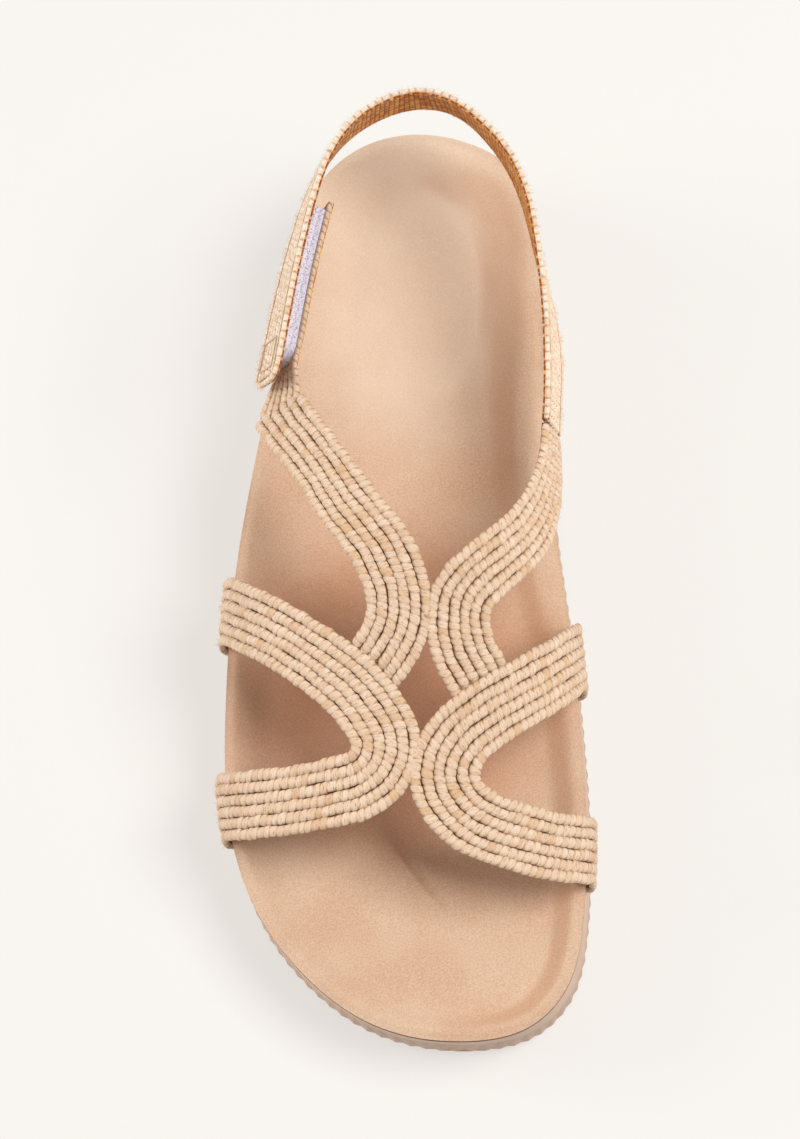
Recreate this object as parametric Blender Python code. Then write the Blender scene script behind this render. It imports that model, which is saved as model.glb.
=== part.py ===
"""A woman's flat raffia sandal for the right foot, size 38.

Six-cord raffia bands cross a contoured suede footbed, and a woven heel strap closes on the outer ankle
with hook-and-loop. Metres, +Z up, +Y to the heel, +X to the inner (big toe) side. The origin is on the
ground, below the middle of the sandal's box.
"""

import math
from functools import partial

import bmesh
import bpy
import numpy as np
from mathutils import Matrix

# Overall sizes
SOLE_LENGTH = 0.2485
BALL_WIDTH = 0.0950
HEEL_RIM = 0.0365
FORE_RIM = 0.0230
INSTEP = 0.0430
CLEARANCE = 0.0003

# Outsole
OUTSOLE_EDGE = 0.0065
TOOTH_PITCH = 0.0040
TOOTH_HEIGHT = 0.0026
TOOTH_STEP = 0.0004
GROOVE_WIDTH = 0.0024
GROOVE_DEPTH = 0.0018
GROOVE_PITCH = 0.0105
GROOVE_WAVE = 0.0023
WAIST_RISE = 0.0020
TOE_SPRING = 0.0045
HEEL_SPRING = 0.0010

# Footbed and its suede cover
COVER = 0.0014
SIDE_FLARE = 0.0008
TOE_RAKE = 0.0014
CUP_DEPTH = 0.0065
BORDER = 0.0170
CREST_ROUND = 0.0009
ARCH_RISE = 0.0050
BAR_RISE = 0.0016
BAR_REACH = 0.0085

# Raffia bands
CORDS = 6
FRONT_WIDTH = 0.0176
REAR_WIDTH = 0.0164
BAND_WALL = 0.0012
CORD_RISE = 0.0011
WALL_SEAT = 0.0005
WALL_DROP = 0.0030
FOOT_BEND = 0.0012
FOOT_TURN = 60
FOOT_TUCK = 0.0060
LAYER_STEP = 0.00015

# How the forms are divided: points round the footbed, run of the last's wall for each degree past a rim,
# and the longest step and largest turn between two sections of a band or strap
FOOTBED_POINTS = 64
WALL_PER_DEGREE = 0.0006
STATION_STEP = 0.0105
STATION_TURN = 25

# Heel strap, closure tab and hook-and-loop
STRAP_WIDTH = 0.0180
STRAP_WALL = 0.0018
EDGE_STEP = 0.0004
EDGE_WIDTH = 0.0024
STRAP_HEIGHT = 0.0690
TAB_LENGTH = 0.0520
TAB_WIDTH = 0.0160
TAB_WALL = 0.0018
PAD_WIDTH = 0.0140
PAD_WALL = 0.0012
PAD_MARGIN = 0.0030

# Outline of the sole: along (share of the length from the heel), across (share of half the ball width,
# + inner side), from the tip of the toe by the outer side to the heel and back by the inner side
OUTLINE = (
    (1.000, 0.330),
    (0.997, 0.100),
    (0.978, -0.205),
    (0.933, -0.520),
    (0.876, -0.760),
    (0.815, -0.905),
    (0.735, -0.985),
    (0.645, -1.000),
    (0.488, -0.955),
    (0.403, -0.890),
    (0.319, -0.810),
    (0.226, -0.730),
    (0.130, -0.672),
    (0.062, -0.550),
    (0.015, -0.300),
    (0.000, 0.020),
    (0.013, 0.337),
    (0.047, 0.590),
    (0.105, 0.712),
    (0.200, 0.742),
    (0.300, 0.752),
    (0.420, 0.802),
    (0.552, 0.900),
    (0.677, 0.970),
    (0.800, 1.000),
    (0.878, 0.980),
    (0.940, 0.905),
    (0.984, 0.700),
)

# Footbed sections: along, rim (share of the way from FORE_RIM to HEEL_RIM), cup (share of CUP_DEPTH),
# border (share of BORDER)
FOOTBED = (
    (0.00, 1.00, 0.95, 1.00),
    (0.12, 1.00, 1.00, 1.00),
    (0.22, 0.94, 1.00, 1.00),
    (0.32, 0.78, 0.90, 0.95),
    (0.42, 0.56, 0.75, 0.90),
    (0.54, 0.32, 0.60, 0.75),
    (0.64, 0.12, 0.52, 0.60),
    (0.74, 0.03, 0.50, 0.55),
    (0.86, 0.00, 0.50, 0.50),
    (1.00, -0.05, 0.50, 0.42),
)

# Rings of the footbed's surface: their distances in from the outline (shares of BORDER), and then how far
# out from the middle line the last ones lie (shares of the way to the ring before)
EDGE_RINGS = (0.0, 0.11, 0.34, 0.66, 1.0)
MIDDLE_RINGS = (0.62, 0.28)

# Stretches of the tread that are grooved: start and end along
GROOVED = (
    (0.07, 0.30),
    (0.58, 0.93),
)

# Sections of the last above the rim: along, crown (share of INSTEP), shift of the crown to the inner side
# (share of half the ball width)
LAST = (
    (0.30, 1.44, 0.21),
    (0.38, 1.30, 0.19),
    (0.46, 1.14, 0.15),
    (0.54, 1.00, 0.105),
    (0.62, 0.84, 0.085),
    (0.70, 0.70, 0.063),
    (0.78, 0.58, 0.042),
    (0.90, 0.44, 0.021),
)

# Bands: around (degrees over the last, 0 at the outer rim, 90 at the crown, 180 at the inner rim), along,
# rise (share of CORD_RISE), skew (degrees the cords' ends are cut off square), roll (degrees about its run)
OUTER_FRONT = (
    (3, 0.757, 1, 0, 0),
    (20, 0.763, 1, 0, 0),
    (38, 0.768, 1, 0, 0),
    (56, 0.768, 1, 0, 0),
    (69, 0.763, 1, 0, 0),
    (78, 0.752, 1, 0, 0),
    (82, 0.735, 1, 0, 0),
    (83, 0.714, 1, 0, 0),
    (80, 0.693, 1, 0, 0),
    (75, 0.671, 1, 0, 0),
    (66, 0.645, 1, 0, 0),
    (52, 0.614, 1, 0, 0),
    (36, 0.586, 1, 0, 0),
    (20, 0.564, 1, 0, 0),
    (3, 0.548, 1, 0, 0),
)
INNER_FRONT = (
    (177, 0.803, 1, 0, 0),
    (152, 0.810, 1, 0, 0),
    (126, 0.807, 1, 0, 0),
    (110, 0.792, 1, 0, 0),
    (103, 0.771, 1, 0, 0),
    (101, 0.748, 1, 0, 0),
    (103, 0.725, 1, 0, 0),
    (109, 0.702, 1, 0, 0),
    (121, 0.675, 1, 0, 0),
    (136, 0.648, 1, 0, 0),
    (153, 0.621, 1, 0, 0),
    (177, 0.597, 1, 0, 0),
)
OUTER_REAR = (
    (30, 0.368, 1, 36, -18),
    (44, 0.407, 1, 14, -8),
    (57, 0.446, 1, 0, 0),
    (68, 0.486, 1, 0, 0),
    (79, 0.524, 1, 0, 0),
    (85, 0.556, 1, 0, 0),
    (87, 0.584, 1, 0, 0),
    (86, 0.606, 1, 0, 0),
    (82, 0.630, 1, 0, 0),
    (77, 0.650, 1, 0, 0),
    (73, 0.664, 0, 0, 0),
)
INNER_REAR = (
    (154, 0.382, 1, 0, 0),
    (151, 0.420, 1, 0, 0),
    (144, 0.460, 1, 0, 0),
    (134, 0.500, 1, 0, 0),
    (123, 0.530, 1, 0, 0),
    (114, 0.552, 1, 0, 0),
    (108, 0.572, 1, 0, 0),
    (106, 0.590, 1, 0, 0),
    (106, 0.608, 1, 0, 0),
    (108, 0.630, 1, 0, 0),
    (113, 0.654, 1, 0, 0),
    (117, 0.672, 0, 0, 0),
)

# Heel strap behind the bands: along, across (share of half the ball width), height (share of
# STRAP_HEIGHT), lean (degrees inwards)
HEEL_STRAP = (
    (0.325, 0.800, 0.885, 12),
    (0.265, 0.780, 0.900, 9),
    (0.200, 0.718, 0.930, 2),
    (0.140, 0.650, 0.955, 0),
    (0.096, 0.555, 0.975, 3),
    (0.062, 0.420, 0.990, 8),
    (0.034, 0.235, 1.000, 12),
    (0.027, 0.060, 1.000, 12),
    (0.036, -0.115, 1.000, 12),
    (0.064, -0.320, 0.995, 13),
    (0.110, -0.465, 0.985, 16),
    (0.170, -0.560, 0.970, 19),
    (0.223, -0.622, 0.957, 21),
    (0.287, -0.682, 0.942, 23),
    (0.345, -0.735, 0.925, 25),
)


def spline(knots, values, at, closed=False):
    """Cubic spline through rows of values at the knots, natural or closed, read at the places asked for."""
    knots = np.asarray(knots, float)
    at = np.atleast_1d(np.asarray(at, float))
    values = np.asarray(values, float).reshape(len(knots), -1)
    step = np.diff(knots)
    slope = np.diff(values, axis=0) / step[:, None]
    last = len(knots) - 1
    matrix = np.zeros((last + 1, last + 1))
    right = np.zeros_like(values)
    for i in range(1, last):
        matrix[i, i - 1 : i + 2] = step[i - 1], 2 * (step[i - 1] + step[i]), step[i]
        right[i] = 6 * (slope[i] - slope[i - 1])
    if closed:
        matrix[0, [0, last]] = 1, -1
        matrix[last, [0, 1, last - 1, last]] = 2 * step[0], step[0], step[-1], 2 * step[-1]
        right[last] = 6 * (slope[0] - slope[-1])
    else:
        matrix[0, 0] = matrix[last, last] = 1
    bend = np.linalg.solve(matrix, right)
    i = np.clip(np.searchsorted(knots, at) - 1, 0, last - 1)
    h = step[i][:, None]
    a = (knots[i + 1] - at)[:, None]
    b = (at - knots[i])[:, None]
    curve = (bend[i] * a**3 + bend[i + 1] * b**3) / (6 * h)
    return curve + (values[i] / h - bend[i] * h / 6) * a + (values[i + 1] / h - bend[i + 1] * h / 6) * b


def run_length(points):
    return np.concatenate([[0], np.cumsum(np.linalg.norm(np.diff(points, axis=0), axis=1))])


def unit(vectors):
    return vectors / np.linalg.norm(vectors, axis=-1, keepdims=True)


def ease(share):
    share = np.clip(share, 0, 1)
    return share * share * (3 - 2 * share)


def table(rows, column, at):
    """A column of a table, read at the places asked for along its first column."""
    rows = np.array(rows, float)
    at = np.asarray(at, float)
    return spline(rows[:, 0], rows[:, column], at.ravel())[:, 0].reshape(at.shape)


def smooth_outline():
    """The sole's outline as a fine closed curve, from the tip of the toe."""
    rows = np.array(OUTLINE + OUTLINE[:1])
    points = np.stack([rows[:, 1] * BALL_WIDTH / 2, (0.5 - rows[:, 0]) * SOLE_LENGTH], 1)
    knots = run_length(points)
    return spline(knots, points, np.linspace(0, knots[-1], 1601), closed=True)


OUTLINE_CURVE = smooth_outline()
HEEL_END = int(OUTLINE_CURVE[:, 1].argmax())


def outline_ring(count):
    """(points, outward normals) at count even steps round the outline, half of them on each side."""
    halves = []
    for curve in (OUTLINE_CURVE[: HEEL_END + 1], OUTLINE_CURVE[HEEL_END:]):
        run = run_length(curve)
        even = np.linspace(0, run[-1], count // 2, endpoint=False)
        halves.append(np.stack([np.interp(even, run, curve[:, k]) for k in (0, 1)], 1))
    points = np.vstack(halves)
    tangent = unit(np.roll(points, -1, axis=0) - np.roll(points, 1, axis=0))
    return points, np.stack([-tangent[:, 1], tangent[:, 0]], 1)


def wall_lean(outward):
    """How far the sole's foot stands out from its rim: flared on the inner side, raked in at the toe."""
    return (SIDE_FLARE * np.clip(outward[:, 0], 0, 1) - TOE_RAKE * np.clip(-outward[:, 1], 0, 1))[:, None]


def edges_at(y):
    """(outer, inner) x of the outline at y."""
    outer = OUTLINE_CURVE[: HEEL_END + 1]
    inner = OUTLINE_CURVE[HEEL_END:][::-1]
    return np.interp(y, outer[:, 1], outer[:, 0]), np.interp(y, inner[:, 1], inner[:, 0])


def along_of(y):
    return 0.5 - np.asarray(y) / SOLE_LENGTH


def ground_rise(along):
    """Height of the tread over the ground: flat at heel and ball, raised at waist, toe and heel end."""
    waist = WAIST_RISE * np.sin(math.pi * np.clip((along - 0.33) / 0.22, 0, 1)) ** 2
    toe = TOE_SPRING * np.clip((along - 0.80) / 0.20, 0, 1) ** 2
    heel = HEEL_SPRING * np.clip((0.05 - along) / 0.05, 0, 1) ** 2
    return waist + toe + heel


def seam_height(along):
    """Top of the outsole."""
    return ground_rise(along) + OUTSOLE_EDGE


def rim_height(along):
    return FORE_RIM + table(FOOTBED, 1, along) * (HEEL_RIM - FORE_RIM)


def footbed_height(x, y, inset):
    """Top of the suede cover, at a distance in from the outline."""
    along = np.clip(along_of(y), 0, 1)
    outer, inner = edges_at(y)
    side = (2 * x - outer - inner) / np.maximum(inner - outer, BALL_WIDTH / 4)
    border = BORDER * table(FOOTBED, 3, along)
    cup = CUP_DEPTH * table(FOOTBED, 2, along) * ease((inset - COVER) / border)
    crest = CREST_ROUND * (1 - ease(inset / (2 * COVER)))
    arch = ARCH_RISE * np.exp(-(((along - 0.42) / 0.10) ** 2)) * ease((side - 0.05) / 0.75)
    arch = arch * ease(inset / (BORDER / 2))
    bar_x = x - 0.02 * BALL_WIDTH
    bar_y = y + 0.315 * SOLE_LENGTH + 0.45 * bar_x
    bar = BAR_RISE * np.exp(-((bar_x / (2 * BAR_REACH)) ** 2) - (bar_y / BAR_REACH) ** 2)
    return rim_height(along) - cup - crest + arch + bar


def collection(name, hidden=False):
    made = bpy.data.collections.new(name)
    made.hide_render = hidden
    bpy.context.scene.collection.children.link(made)
    return made


def material(name, colour, roughness):
    made = bpy.data.materials.new(name)
    made.use_nodes = True
    shader = made.node_tree.nodes["Principled BSDF"]
    shader.inputs["Base Color"].default_value = (*colour, 1)
    shader.inputs["Roughness"].default_value = roughness
    shader.inputs["Metallic"].default_value = 0
    return made


def mesh_object(name, points, faces, finish, home, crease=40):
    """A closed mesh from points and faces, with its normals turned outwards."""
    mesh = bpy.data.meshes.new(name)
    mesh.from_pydata([tuple(map(float, point)) for point in points], [], faces)
    shape = bmesh.new()
    shape.from_mesh(mesh)
    bmesh.ops.triangulate(shape, faces=shape.faces)
    bmesh.ops.recalc_face_normals(shape, faces=shape.faces)
    shape.to_mesh(mesh)
    shape.free()
    mesh.shade_smooth()
    mesh.set_sharp_from_angle(angle=math.radians(crease))
    made = bpy.data.objects.new(name, mesh)
    made.data.materials.append(finish)
    home.objects.link(made)
    return made


def between(first, second, count):
    """Quads between two closed rings of count points, given by their first index."""
    return [
        (first + i, first + (i + 1) % count, second + (i + 1) % count, second + i) for i in range(count)
    ]


def ladder(first, count):
    """Faces across a ring whose points are paired side by side, index 0 at the toe's tip."""
    faces = [(first, first + 1, first + count - 1)]
    for i in range(1, count // 2 - 1):
        faces.append((first + i, first + i + 1, first + count - i - 1, first + count - i))
    middle = count // 2
    faces.append((first + middle - 1, first + middle, first + middle + 1))
    return faces


def footbed_layer():
    """Plan of the footbed's surface: rings set in from the outline, then rings closing on a middle line.

    Returns the points' x and y, their distances from the outline, and the faces over them.
    """
    count = FOOTBED_POINTS
    edge, outward = outline_ring(count)
    insets = BORDER * np.array(EDGE_RINGS)
    rings = [edge - outward * inset for inset in insets]
    half = count // 2
    middle = (rings[-1] + np.roll(rings[-1][::-1], 1, axis=0)) / 2
    round_end = BALL_WIDTH * 0.22
    inside = np.abs(rings[-1][:, 1]) < SOLE_LENGTH / 2 - BORDER - round_end
    seats = [i for i in range(half + 1) if inside[i] and inside[-i % count]]
    nearest = [min(max(i, seats[0]), seats[-1]) for i in range(half + 1)]
    folded = [nearest[min(i, count - i)] for i in range(count)]
    line = middle[folded]
    for share in MIDDLE_RINGS:
        rings.append(line + (rings[len(insets) - 1] - line) * share)
    spine = middle[seats[0] : seats[-1] + 1]
    plan = np.vstack(rings + [spine])
    depth = [np.full(count, inset) for inset in insets]
    depth += [np.full(count, 2 * BORDER)] * len(MIDDLE_RINGS) + [np.full(len(spine), 2 * BORDER)]
    faces = []
    for k in range(len(rings) - 1):
        faces += between(k * count, (k + 1) * count, count)
    start = len(rings) * count
    last = start - count
    for i in range(count):
        after = (i + 1) % count
        a, b = start + folded[i] - seats[0], start + folded[after] - seats[0]
        faces.append((last + i, last + after, b, a) if a != b else (last + i, last + after, a))
    return plan, np.concatenate(depth), faces


def make_cover(finish, home):
    """The suede cover: one even layer over the whole footbed, cut flush at its edge."""
    plan, depth, faces = footbed_layer()
    top = np.column_stack([plan, footbed_height(plan[:, 0], plan[:, 1], depth)])
    under = top - [0, 0, COVER]
    under_faces = [tuple(len(plan) + i for i in face) for face in faces]
    sides = between(0, len(plan), FOOTBED_POINTS)
    return mesh_object("insole", np.vstack([top, under]), faces + under_faces + sides, finish, home, 60)


def make_footbed(finish, home):
    """The moulded footbed body between the suede cover and the outsole."""
    count = FOOTBED_POINTS
    plan, depth, faces = footbed_layer()
    edge, outward = outline_ring(count)
    drop = COVER + CLEARANCE
    top = np.column_stack([plan, footbed_height(plan[:, 0], plan[:, 1], depth) - drop])
    floor = seam_height(along_of(edge[:, 1])) + CLEARANCE
    middle = edge + outward * wall_lean(outward) * 0.5
    foot = edge + outward * wall_lean(outward)
    side = np.column_stack([middle, (top[:count, 2] + floor) / 2])
    base = np.column_stack([foot, floor])
    start = len(top)
    faces = faces + between(0, start, count) + between(start, start + count, count)
    faces += ladder(start + count, count)
    return mesh_object("midsole", np.vstack([top, side, base]), faces, finish, home, 60)


def make_outsole(finish, home, cutters):
    """The rubber outsole: teeth round its lower edge, and wavy grooves across the tread."""
    around = run_length(OUTLINE_CURVE)[-1]
    teeth = 4 * round(around / TOOTH_PITCH / 4)
    count = 2 * teeth
    edge, outward = outline_ring(count)
    along = along_of(edge[:, 1])
    step = TOOTH_STEP * (np.arange(count) % 2)[:, None]
    plain = edge + outward * wall_lean(outward)
    tooth = plain + outward * step
    rise = ground_rise(along)
    rings = [
        np.column_stack([tooth, rise]),
        np.column_stack([tooth, rise + TOOTH_HEIGHT]),
        np.column_stack([plain, seam_height(along)]),
    ]
    faces = ladder(0, count) + ladder(2 * count, count)
    faces += between(0, count, count) + between(count, 2 * count, count)
    sole = mesh_object("outsole", np.vstack(rings), faces, finish, home, 30)
    points = []
    faces = []
    for start, end in GROOVED:
        places = max(1, round((end - start) * SOLE_LENGTH / GROOVE_PITCH))
        for i in range(places + 1):
            add_groove(start + (end - start) * i / places, points, faces)
    cutter = mesh_object("grooves", points, faces, finish, cutters)
    cutter.display_type = "WIRE"
    join(sole, cutter, "DIFFERENCE")
    return sole


def add_groove(along, points, faces):
    """Adds the cutter of one wavy groove across the tread, closed short of the sole's edge."""
    y = (0.5 - along) * SOLE_LENGTH
    outer, inner = edges_at(y)
    margin = 2 * TOOTH_PITCH
    shares = np.linspace(0, 1, 5)
    wave = GROOVE_WAVE * np.cos(shares * 2 * math.pi)
    first = len(points)
    for share, shift in zip(shares, wave):
        x = outer + margin + (inner - outer - 2 * margin) * share
        for side in (-0.5, 0.5):
            across = y + shift + side * GROOVE_WIDTH
            roof = float(ground_rise(along_of(across))) + GROOVE_DEPTH
            points += [(x, across, -GROOVE_DEPTH), (x, across, roof)]
    last = first + 4 * (len(shares) - 1)
    faces += [(first, first + 1, first + 3, first + 2), (last, last + 2, last + 3, last + 1)]
    for near in range(first, last, 4):
        for a, b in ((0, 1), (1, 3), (3, 2), (2, 0)):
            faces.append((near + a, near + b, near + 4 + b, near + 4 + a))


def join(target, other, operation, solver="EXACT"):
    modifier = target.modifiers.new(other.name, "BOOLEAN")
    modifier.object = other
    modifier.operation = operation
    modifier.solver = solver


def last_point(around, along, lift=0.0):
    """A point of the last. Past the rims the surface runs down the footbed's wall and turns in under it."""
    around, along = np.broadcast_arrays(np.asarray(around, float), np.asarray(along, float))
    y = (0.5 - along) * SOLE_LENGTH
    outer, inner = edges_at(y)
    half = (inner - outer) / 2 + WALL_SEAT + lift
    spring = rim_height(along)
    crown = INSTEP * table(LAST, 1, along) + lift
    shift = BALL_WIDTH / 2 * table(LAST, 2, along)
    over = np.radians(np.clip(around, 0, 180))
    past = WALL_PER_DEGREE * np.maximum(np.maximum(-around, around - 180), 0)
    full_turn = math.radians(FOOT_TURN)
    bent = np.clip((past - WALL_DROP) / FOOT_BEND, 0, full_turn)
    tucked = np.maximum(past - WALL_DROP - FOOT_BEND * full_turn, 0)
    inwards = (FOOT_BEND + lift) * (1 - np.cos(bent)) + tucked * math.sin(full_turn)
    down = np.minimum(past, WALL_DROP) + (FOOT_BEND + lift) * np.sin(bent) + tucked * math.cos(full_turn)
    x = (outer + inner) / 2 - (half - inwards) * np.cos(over) + shift * np.sin(over)
    return np.stack([x, y, spring + crown * np.sin(over) - down], -1)


def last_frame(around, along):
    """Slopes of the last over a degree and over the length, and its outward normal."""
    small = 0.02, 1e-4
    by_around = (last_point(around + small[0], along) - last_point(around - small[0], along)) / (2 * small[0])
    by_along = (last_point(around, along + small[1]) - last_point(around, along - small[1])) / (2 * small[1])
    return by_around, by_along, unit(np.cross(by_along, by_around))


def foot_rows(row, spare=0.0):
    """Rows of a front band's foot, from its tucked end to the footbed's wall under the rim."""
    around, along = row[:2]
    sign, rim = (-1, 0) if around < 90 else (1, 180)
    bend = FOOT_BEND * math.radians(FOOT_TURN)
    lengths = ((WALL_DROP + bend + FOOT_TUCK + spare, 0), (WALL_DROP + bend, 0), (WALL_DROP - FOOT_BEND, 1))
    return [(rim + sign * length / WALL_PER_DEGREE, along, rise, 0, 0) for length, rise in lengths]


def with_feet(rows):
    """The rows of a front band, with its two feet over the rims and tucked into the footbed's side."""
    return foot_rows(rows[0]) + list(rows) + foot_rows(rows[-1])[::-1]


def stations(points, normals):
    """Places along a fine path, closer together where it bends, as fractional indices."""
    tangents = unit(np.gradient(points, axis=0))
    length = np.linalg.norm(np.diff(points, axis=0), axis=1)
    turned = [
        np.degrees(np.arccos(np.clip((way[1:] * way[:-1]).sum(1), -1, 1))) for way in (tangents, normals)
    ]
    cost = np.concatenate([[0], np.cumsum(length / STATION_STEP + np.maximum(*turned) / STATION_TURN)])
    return np.interp(np.linspace(0, cost[-1], math.ceil(cost[-1]) + 1), cost, np.arange(len(points)))


def cord_section(width, rise):
    """Section of a band: its flat lining below, and its cords as ridges above, as (across, up) pairs."""
    pitch = width / CORDS
    below = [(-width / 2, 0), (0, 0), (width / 2, 0)]
    above = [(width / 2, BAND_WALL)]
    for k in range(CORDS):
        start = width / 2 - k * pitch
        above += [(start - 0.28 * pitch, BAND_WALL + rise), (start - 0.72 * pitch, BAND_WALL + rise)]
        above += [(start - pitch, BAND_WALL)]
    return np.array(below + above)


def band_rings(rows, section_of, layer=0):
    """Sections of a band laid over the last along its rows; section_of gives one from the cords' rise."""
    rows = np.array(rows, float)
    knots = run_length(last_point(rows[:, 0], rows[:, 1]))
    fine = np.linspace(0, knots[-1], 601)
    path = spline(knots, rows[:, :2], fine)
    points = last_point(path[:, 0], path[:, 1])
    normals = last_frame(path[:, 0], path[:, 1])[2]
    places = stations(points, normals)
    index = np.arange(len(fine))
    around, along = [np.interp(places, index, path[:, k]) for k in (0, 1)]
    rise, skew, roll = [np.interp(np.interp(places, index, fine), knots, rows[:, k]) for k in (2, 3, 4)]
    centre = last_point(around, along)
    tangent = unit(np.stack([np.interp(places, index, np.gradient(points, axis=0)[:, k]) for k in range(3)], 1))
    rings = []
    for k in range(len(places)):
        by_around, by_along, normal = last_frame(around[k], along[k])
        across = unit(np.cross(normal, tangent[k]))
        section = section_of(rise[k] * CORD_RISE)
        offset = np.outer(section[:, 0], across)
        slopes = np.stack([by_around, by_along], 1)
        moved = np.linalg.lstsq(slopes, offset.T, rcond=None)[0]
        surface = last_point(around[k] + moved[0], along[k] + moved[1])
        local = last_frame(around[k] + moved[0], along[k] + moved[1])[2]
        ring = surface + local * (section[:, 1:] + layer * LAYER_STEP)
        ring = ring + np.outer(section[:, 0] * math.tan(math.radians(skew[k])), tangent[k])
        turn = np.array(Matrix.Rotation(math.radians(roll[k]), 3, tangent[k]))
        ring = (ring - centre[k]) @ turn.T + centre[k]
        rings.append(ring)
    return np.array(rings)


def loft(name, rings, finish, home, crease=40):
    """A closed solid through rings of points, capped at both ends."""
    number, count = rings.shape[:2]
    faces = [tuple(range(count)), tuple((number - 1) * count + i for i in range(count))]
    for k in range(number - 1):
        faces += between(k * count, (k + 1) * count, count)
    return mesh_object(name, rings.reshape(-1, 3), faces, finish, home, crease)


def make_upper(finish, home, cutters):
    """The four corded bands, joined where they meet over the instep."""
    front = partial(cord_section, FRONT_WIDTH)
    rear = partial(cord_section, REAR_WIDTH)
    upper = loft("upper", band_rings(with_feet(OUTER_FRONT), front), finish, home)
    others = (
        ("inner_front_band", with_feet(INNER_FRONT), front),
        ("outer_rear_band", OUTER_REAR, rear),
        ("inner_rear_band", INNER_REAR, rear),
    )
    for layer, (name, rows, section) in enumerate(others, 1):
        band = loft(name, band_rings(rows, section, layer), finish, cutters)
        band.display_type = "WIRE"
        join(upper, band, "UNION")
    return upper


def slot_section(_):
    """Section of the slot round a band's foot, which is a flat tongue there."""
    half = FRONT_WIDTH / 2 + CLEARANCE
    top = BAND_WALL + LAYER_STEP + CLEARANCE
    bottom = -CLEARANCE
    return np.array([(-half, bottom), (0, bottom), (half, bottom), (half, top), (0, top), (-half, top)])


def cut_foot_slots(footbed, cutters):
    """Slots in the footbed's side that take the tucked feet of the front bands."""
    for name, rows in (("outer", OUTER_FRONT), ("inner", INNER_FRONT)):
        for end, row in (("front", rows[0]), ("back", rows[-1])):
            rings = band_rings(foot_rows(row, CLEARANCE), slot_section)
            slot = loft(f"slot_{name}_{end}", rings, footbed.data.materials[0], cutters)
            slot.display_type = "WIRE"
            join(footbed, slot, "DIFFERENCE", "MANIFOLD")


def band_end(rows):
    """(point, way out, line, normal) of a rear band's rear end, the line running across its cut face."""
    first, second = band_rings(rows[:3], partial(cord_section, REAR_WIDTH))[:2]
    line = unit(first[2] - first[0])
    normal = unit(np.cross(first[1] - second[1], line))
    normal = normal * np.sign(normal @ (first.mean(0) - first[1]))
    way = np.cross(line, normal)
    way = way * np.sign(way @ (first[1] - second[1]))
    return first[1] + way * 2 * CLEARANCE, way, line, normal


def ribbon(points, normals):
    """Fine centre line through points, with a normal beside each: (run, curve, way, normals)."""
    knots = run_length(np.array(points))
    run = np.linspace(0, knots[-1], 601)
    curve = spline(knots, points, run)
    way = unit(np.gradient(curve, axis=0))
    normals = spline(knots, normals, run)
    return run, curve, way, unit(normals - way * (normals * way).sum(1)[:, None])


def strap_path():
    """The heel strap's inner face, from the inner rear band's end round the heel to the outer ankle."""
    start, _, _, normal = band_end(INNER_REAR)
    rows = np.array(HEEL_STRAP)
    points = np.column_stack(
        [rows[:, 1] * BALL_WIDTH / 2, (0.5 - rows[:, 0]) * SOLE_LENGTH, rows[:, 2] * STRAP_HEIGHT]
    )
    ways = unit(np.gradient(points, axis=0))
    level = unit(np.column_stack([ways[:, 1], -ways[:, 0], np.zeros(len(rows))]))
    lean = np.radians(rows[:, 3:])
    normals = level * np.cos(lean) + np.array([0, 0, 1]) * np.sin(lean)
    return ribbon(np.vstack([start, points]), np.vstack([normal, normals]))


def inner_path(depth, start, end, joint=None):
    """A path inside the heel strap's free end, at a depth under it, and on to a band's end if one is given."""
    run, curve, _, normals = strap_path()
    places = np.linspace(start, end, 6)
    normal = unit(np.stack([np.interp(places, run, normals[:, k]) for k in range(3)], 1))
    points = np.stack([np.interp(places, run, curve[:, k]) for k in range(3)], 1) - normal * depth
    if joint:
        points = np.vstack([points, joint[0]])
        normal = np.vstack([normal, joint[3]])
    return ribbon(points, normal)


def strap_rings(path, section, joint=None, joined=-1):
    """Sections of a strap along a path, its inner face on the path and one end cut to fit a band's end."""
    run, curve, way, normals = path
    rings = []
    acrosses = []
    for place in stations(curve, normals):
        point, forward, up = [
            np.array([np.interp(place, np.arange(len(run)), values[:, k]) for k in range(3)])
            for values in (curve, way, normals)
        ]
        acrosses.append(unit(np.cross(up, forward)))
        rings.append(point + np.outer(section[:, 0], acrosses[-1]) + np.outer(section[:, 1], up))
    if joint:
        point, _, line, normal = joint
        line = line * np.sign(line @ acrosses[joined])
        rings[joined] = point + np.outer(section[:, 0], line) + np.outer(section[:, 1], normal)
    return np.array(rings)


def flat_section(width, wall, edge_step=0.0):
    """Section of a flat strap, with its sewn edges standing a little proud on the outer face."""
    half = width / 2
    if not edge_step:
        return np.array([(-half, 0), (half, 0), (half, wall), (-half, wall)])
    inner = half - EDGE_WIDTH
    outline = [(-half, 0), (half, 0), (half, wall), (inner, wall), (inner - edge_step, wall - edge_step)]
    return np.array(outline + [(edge_step - inner, wall - edge_step), (-inner, wall), (-half, wall)])


def make_heel_strap(finish, home):
    section = flat_section(STRAP_WIDTH, STRAP_WALL, EDGE_STEP)
    rings = strap_rings(strap_path(), section, band_end(INNER_REAR), 0)
    return loft("heel_strap", rings, finish, home, 30)


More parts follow.
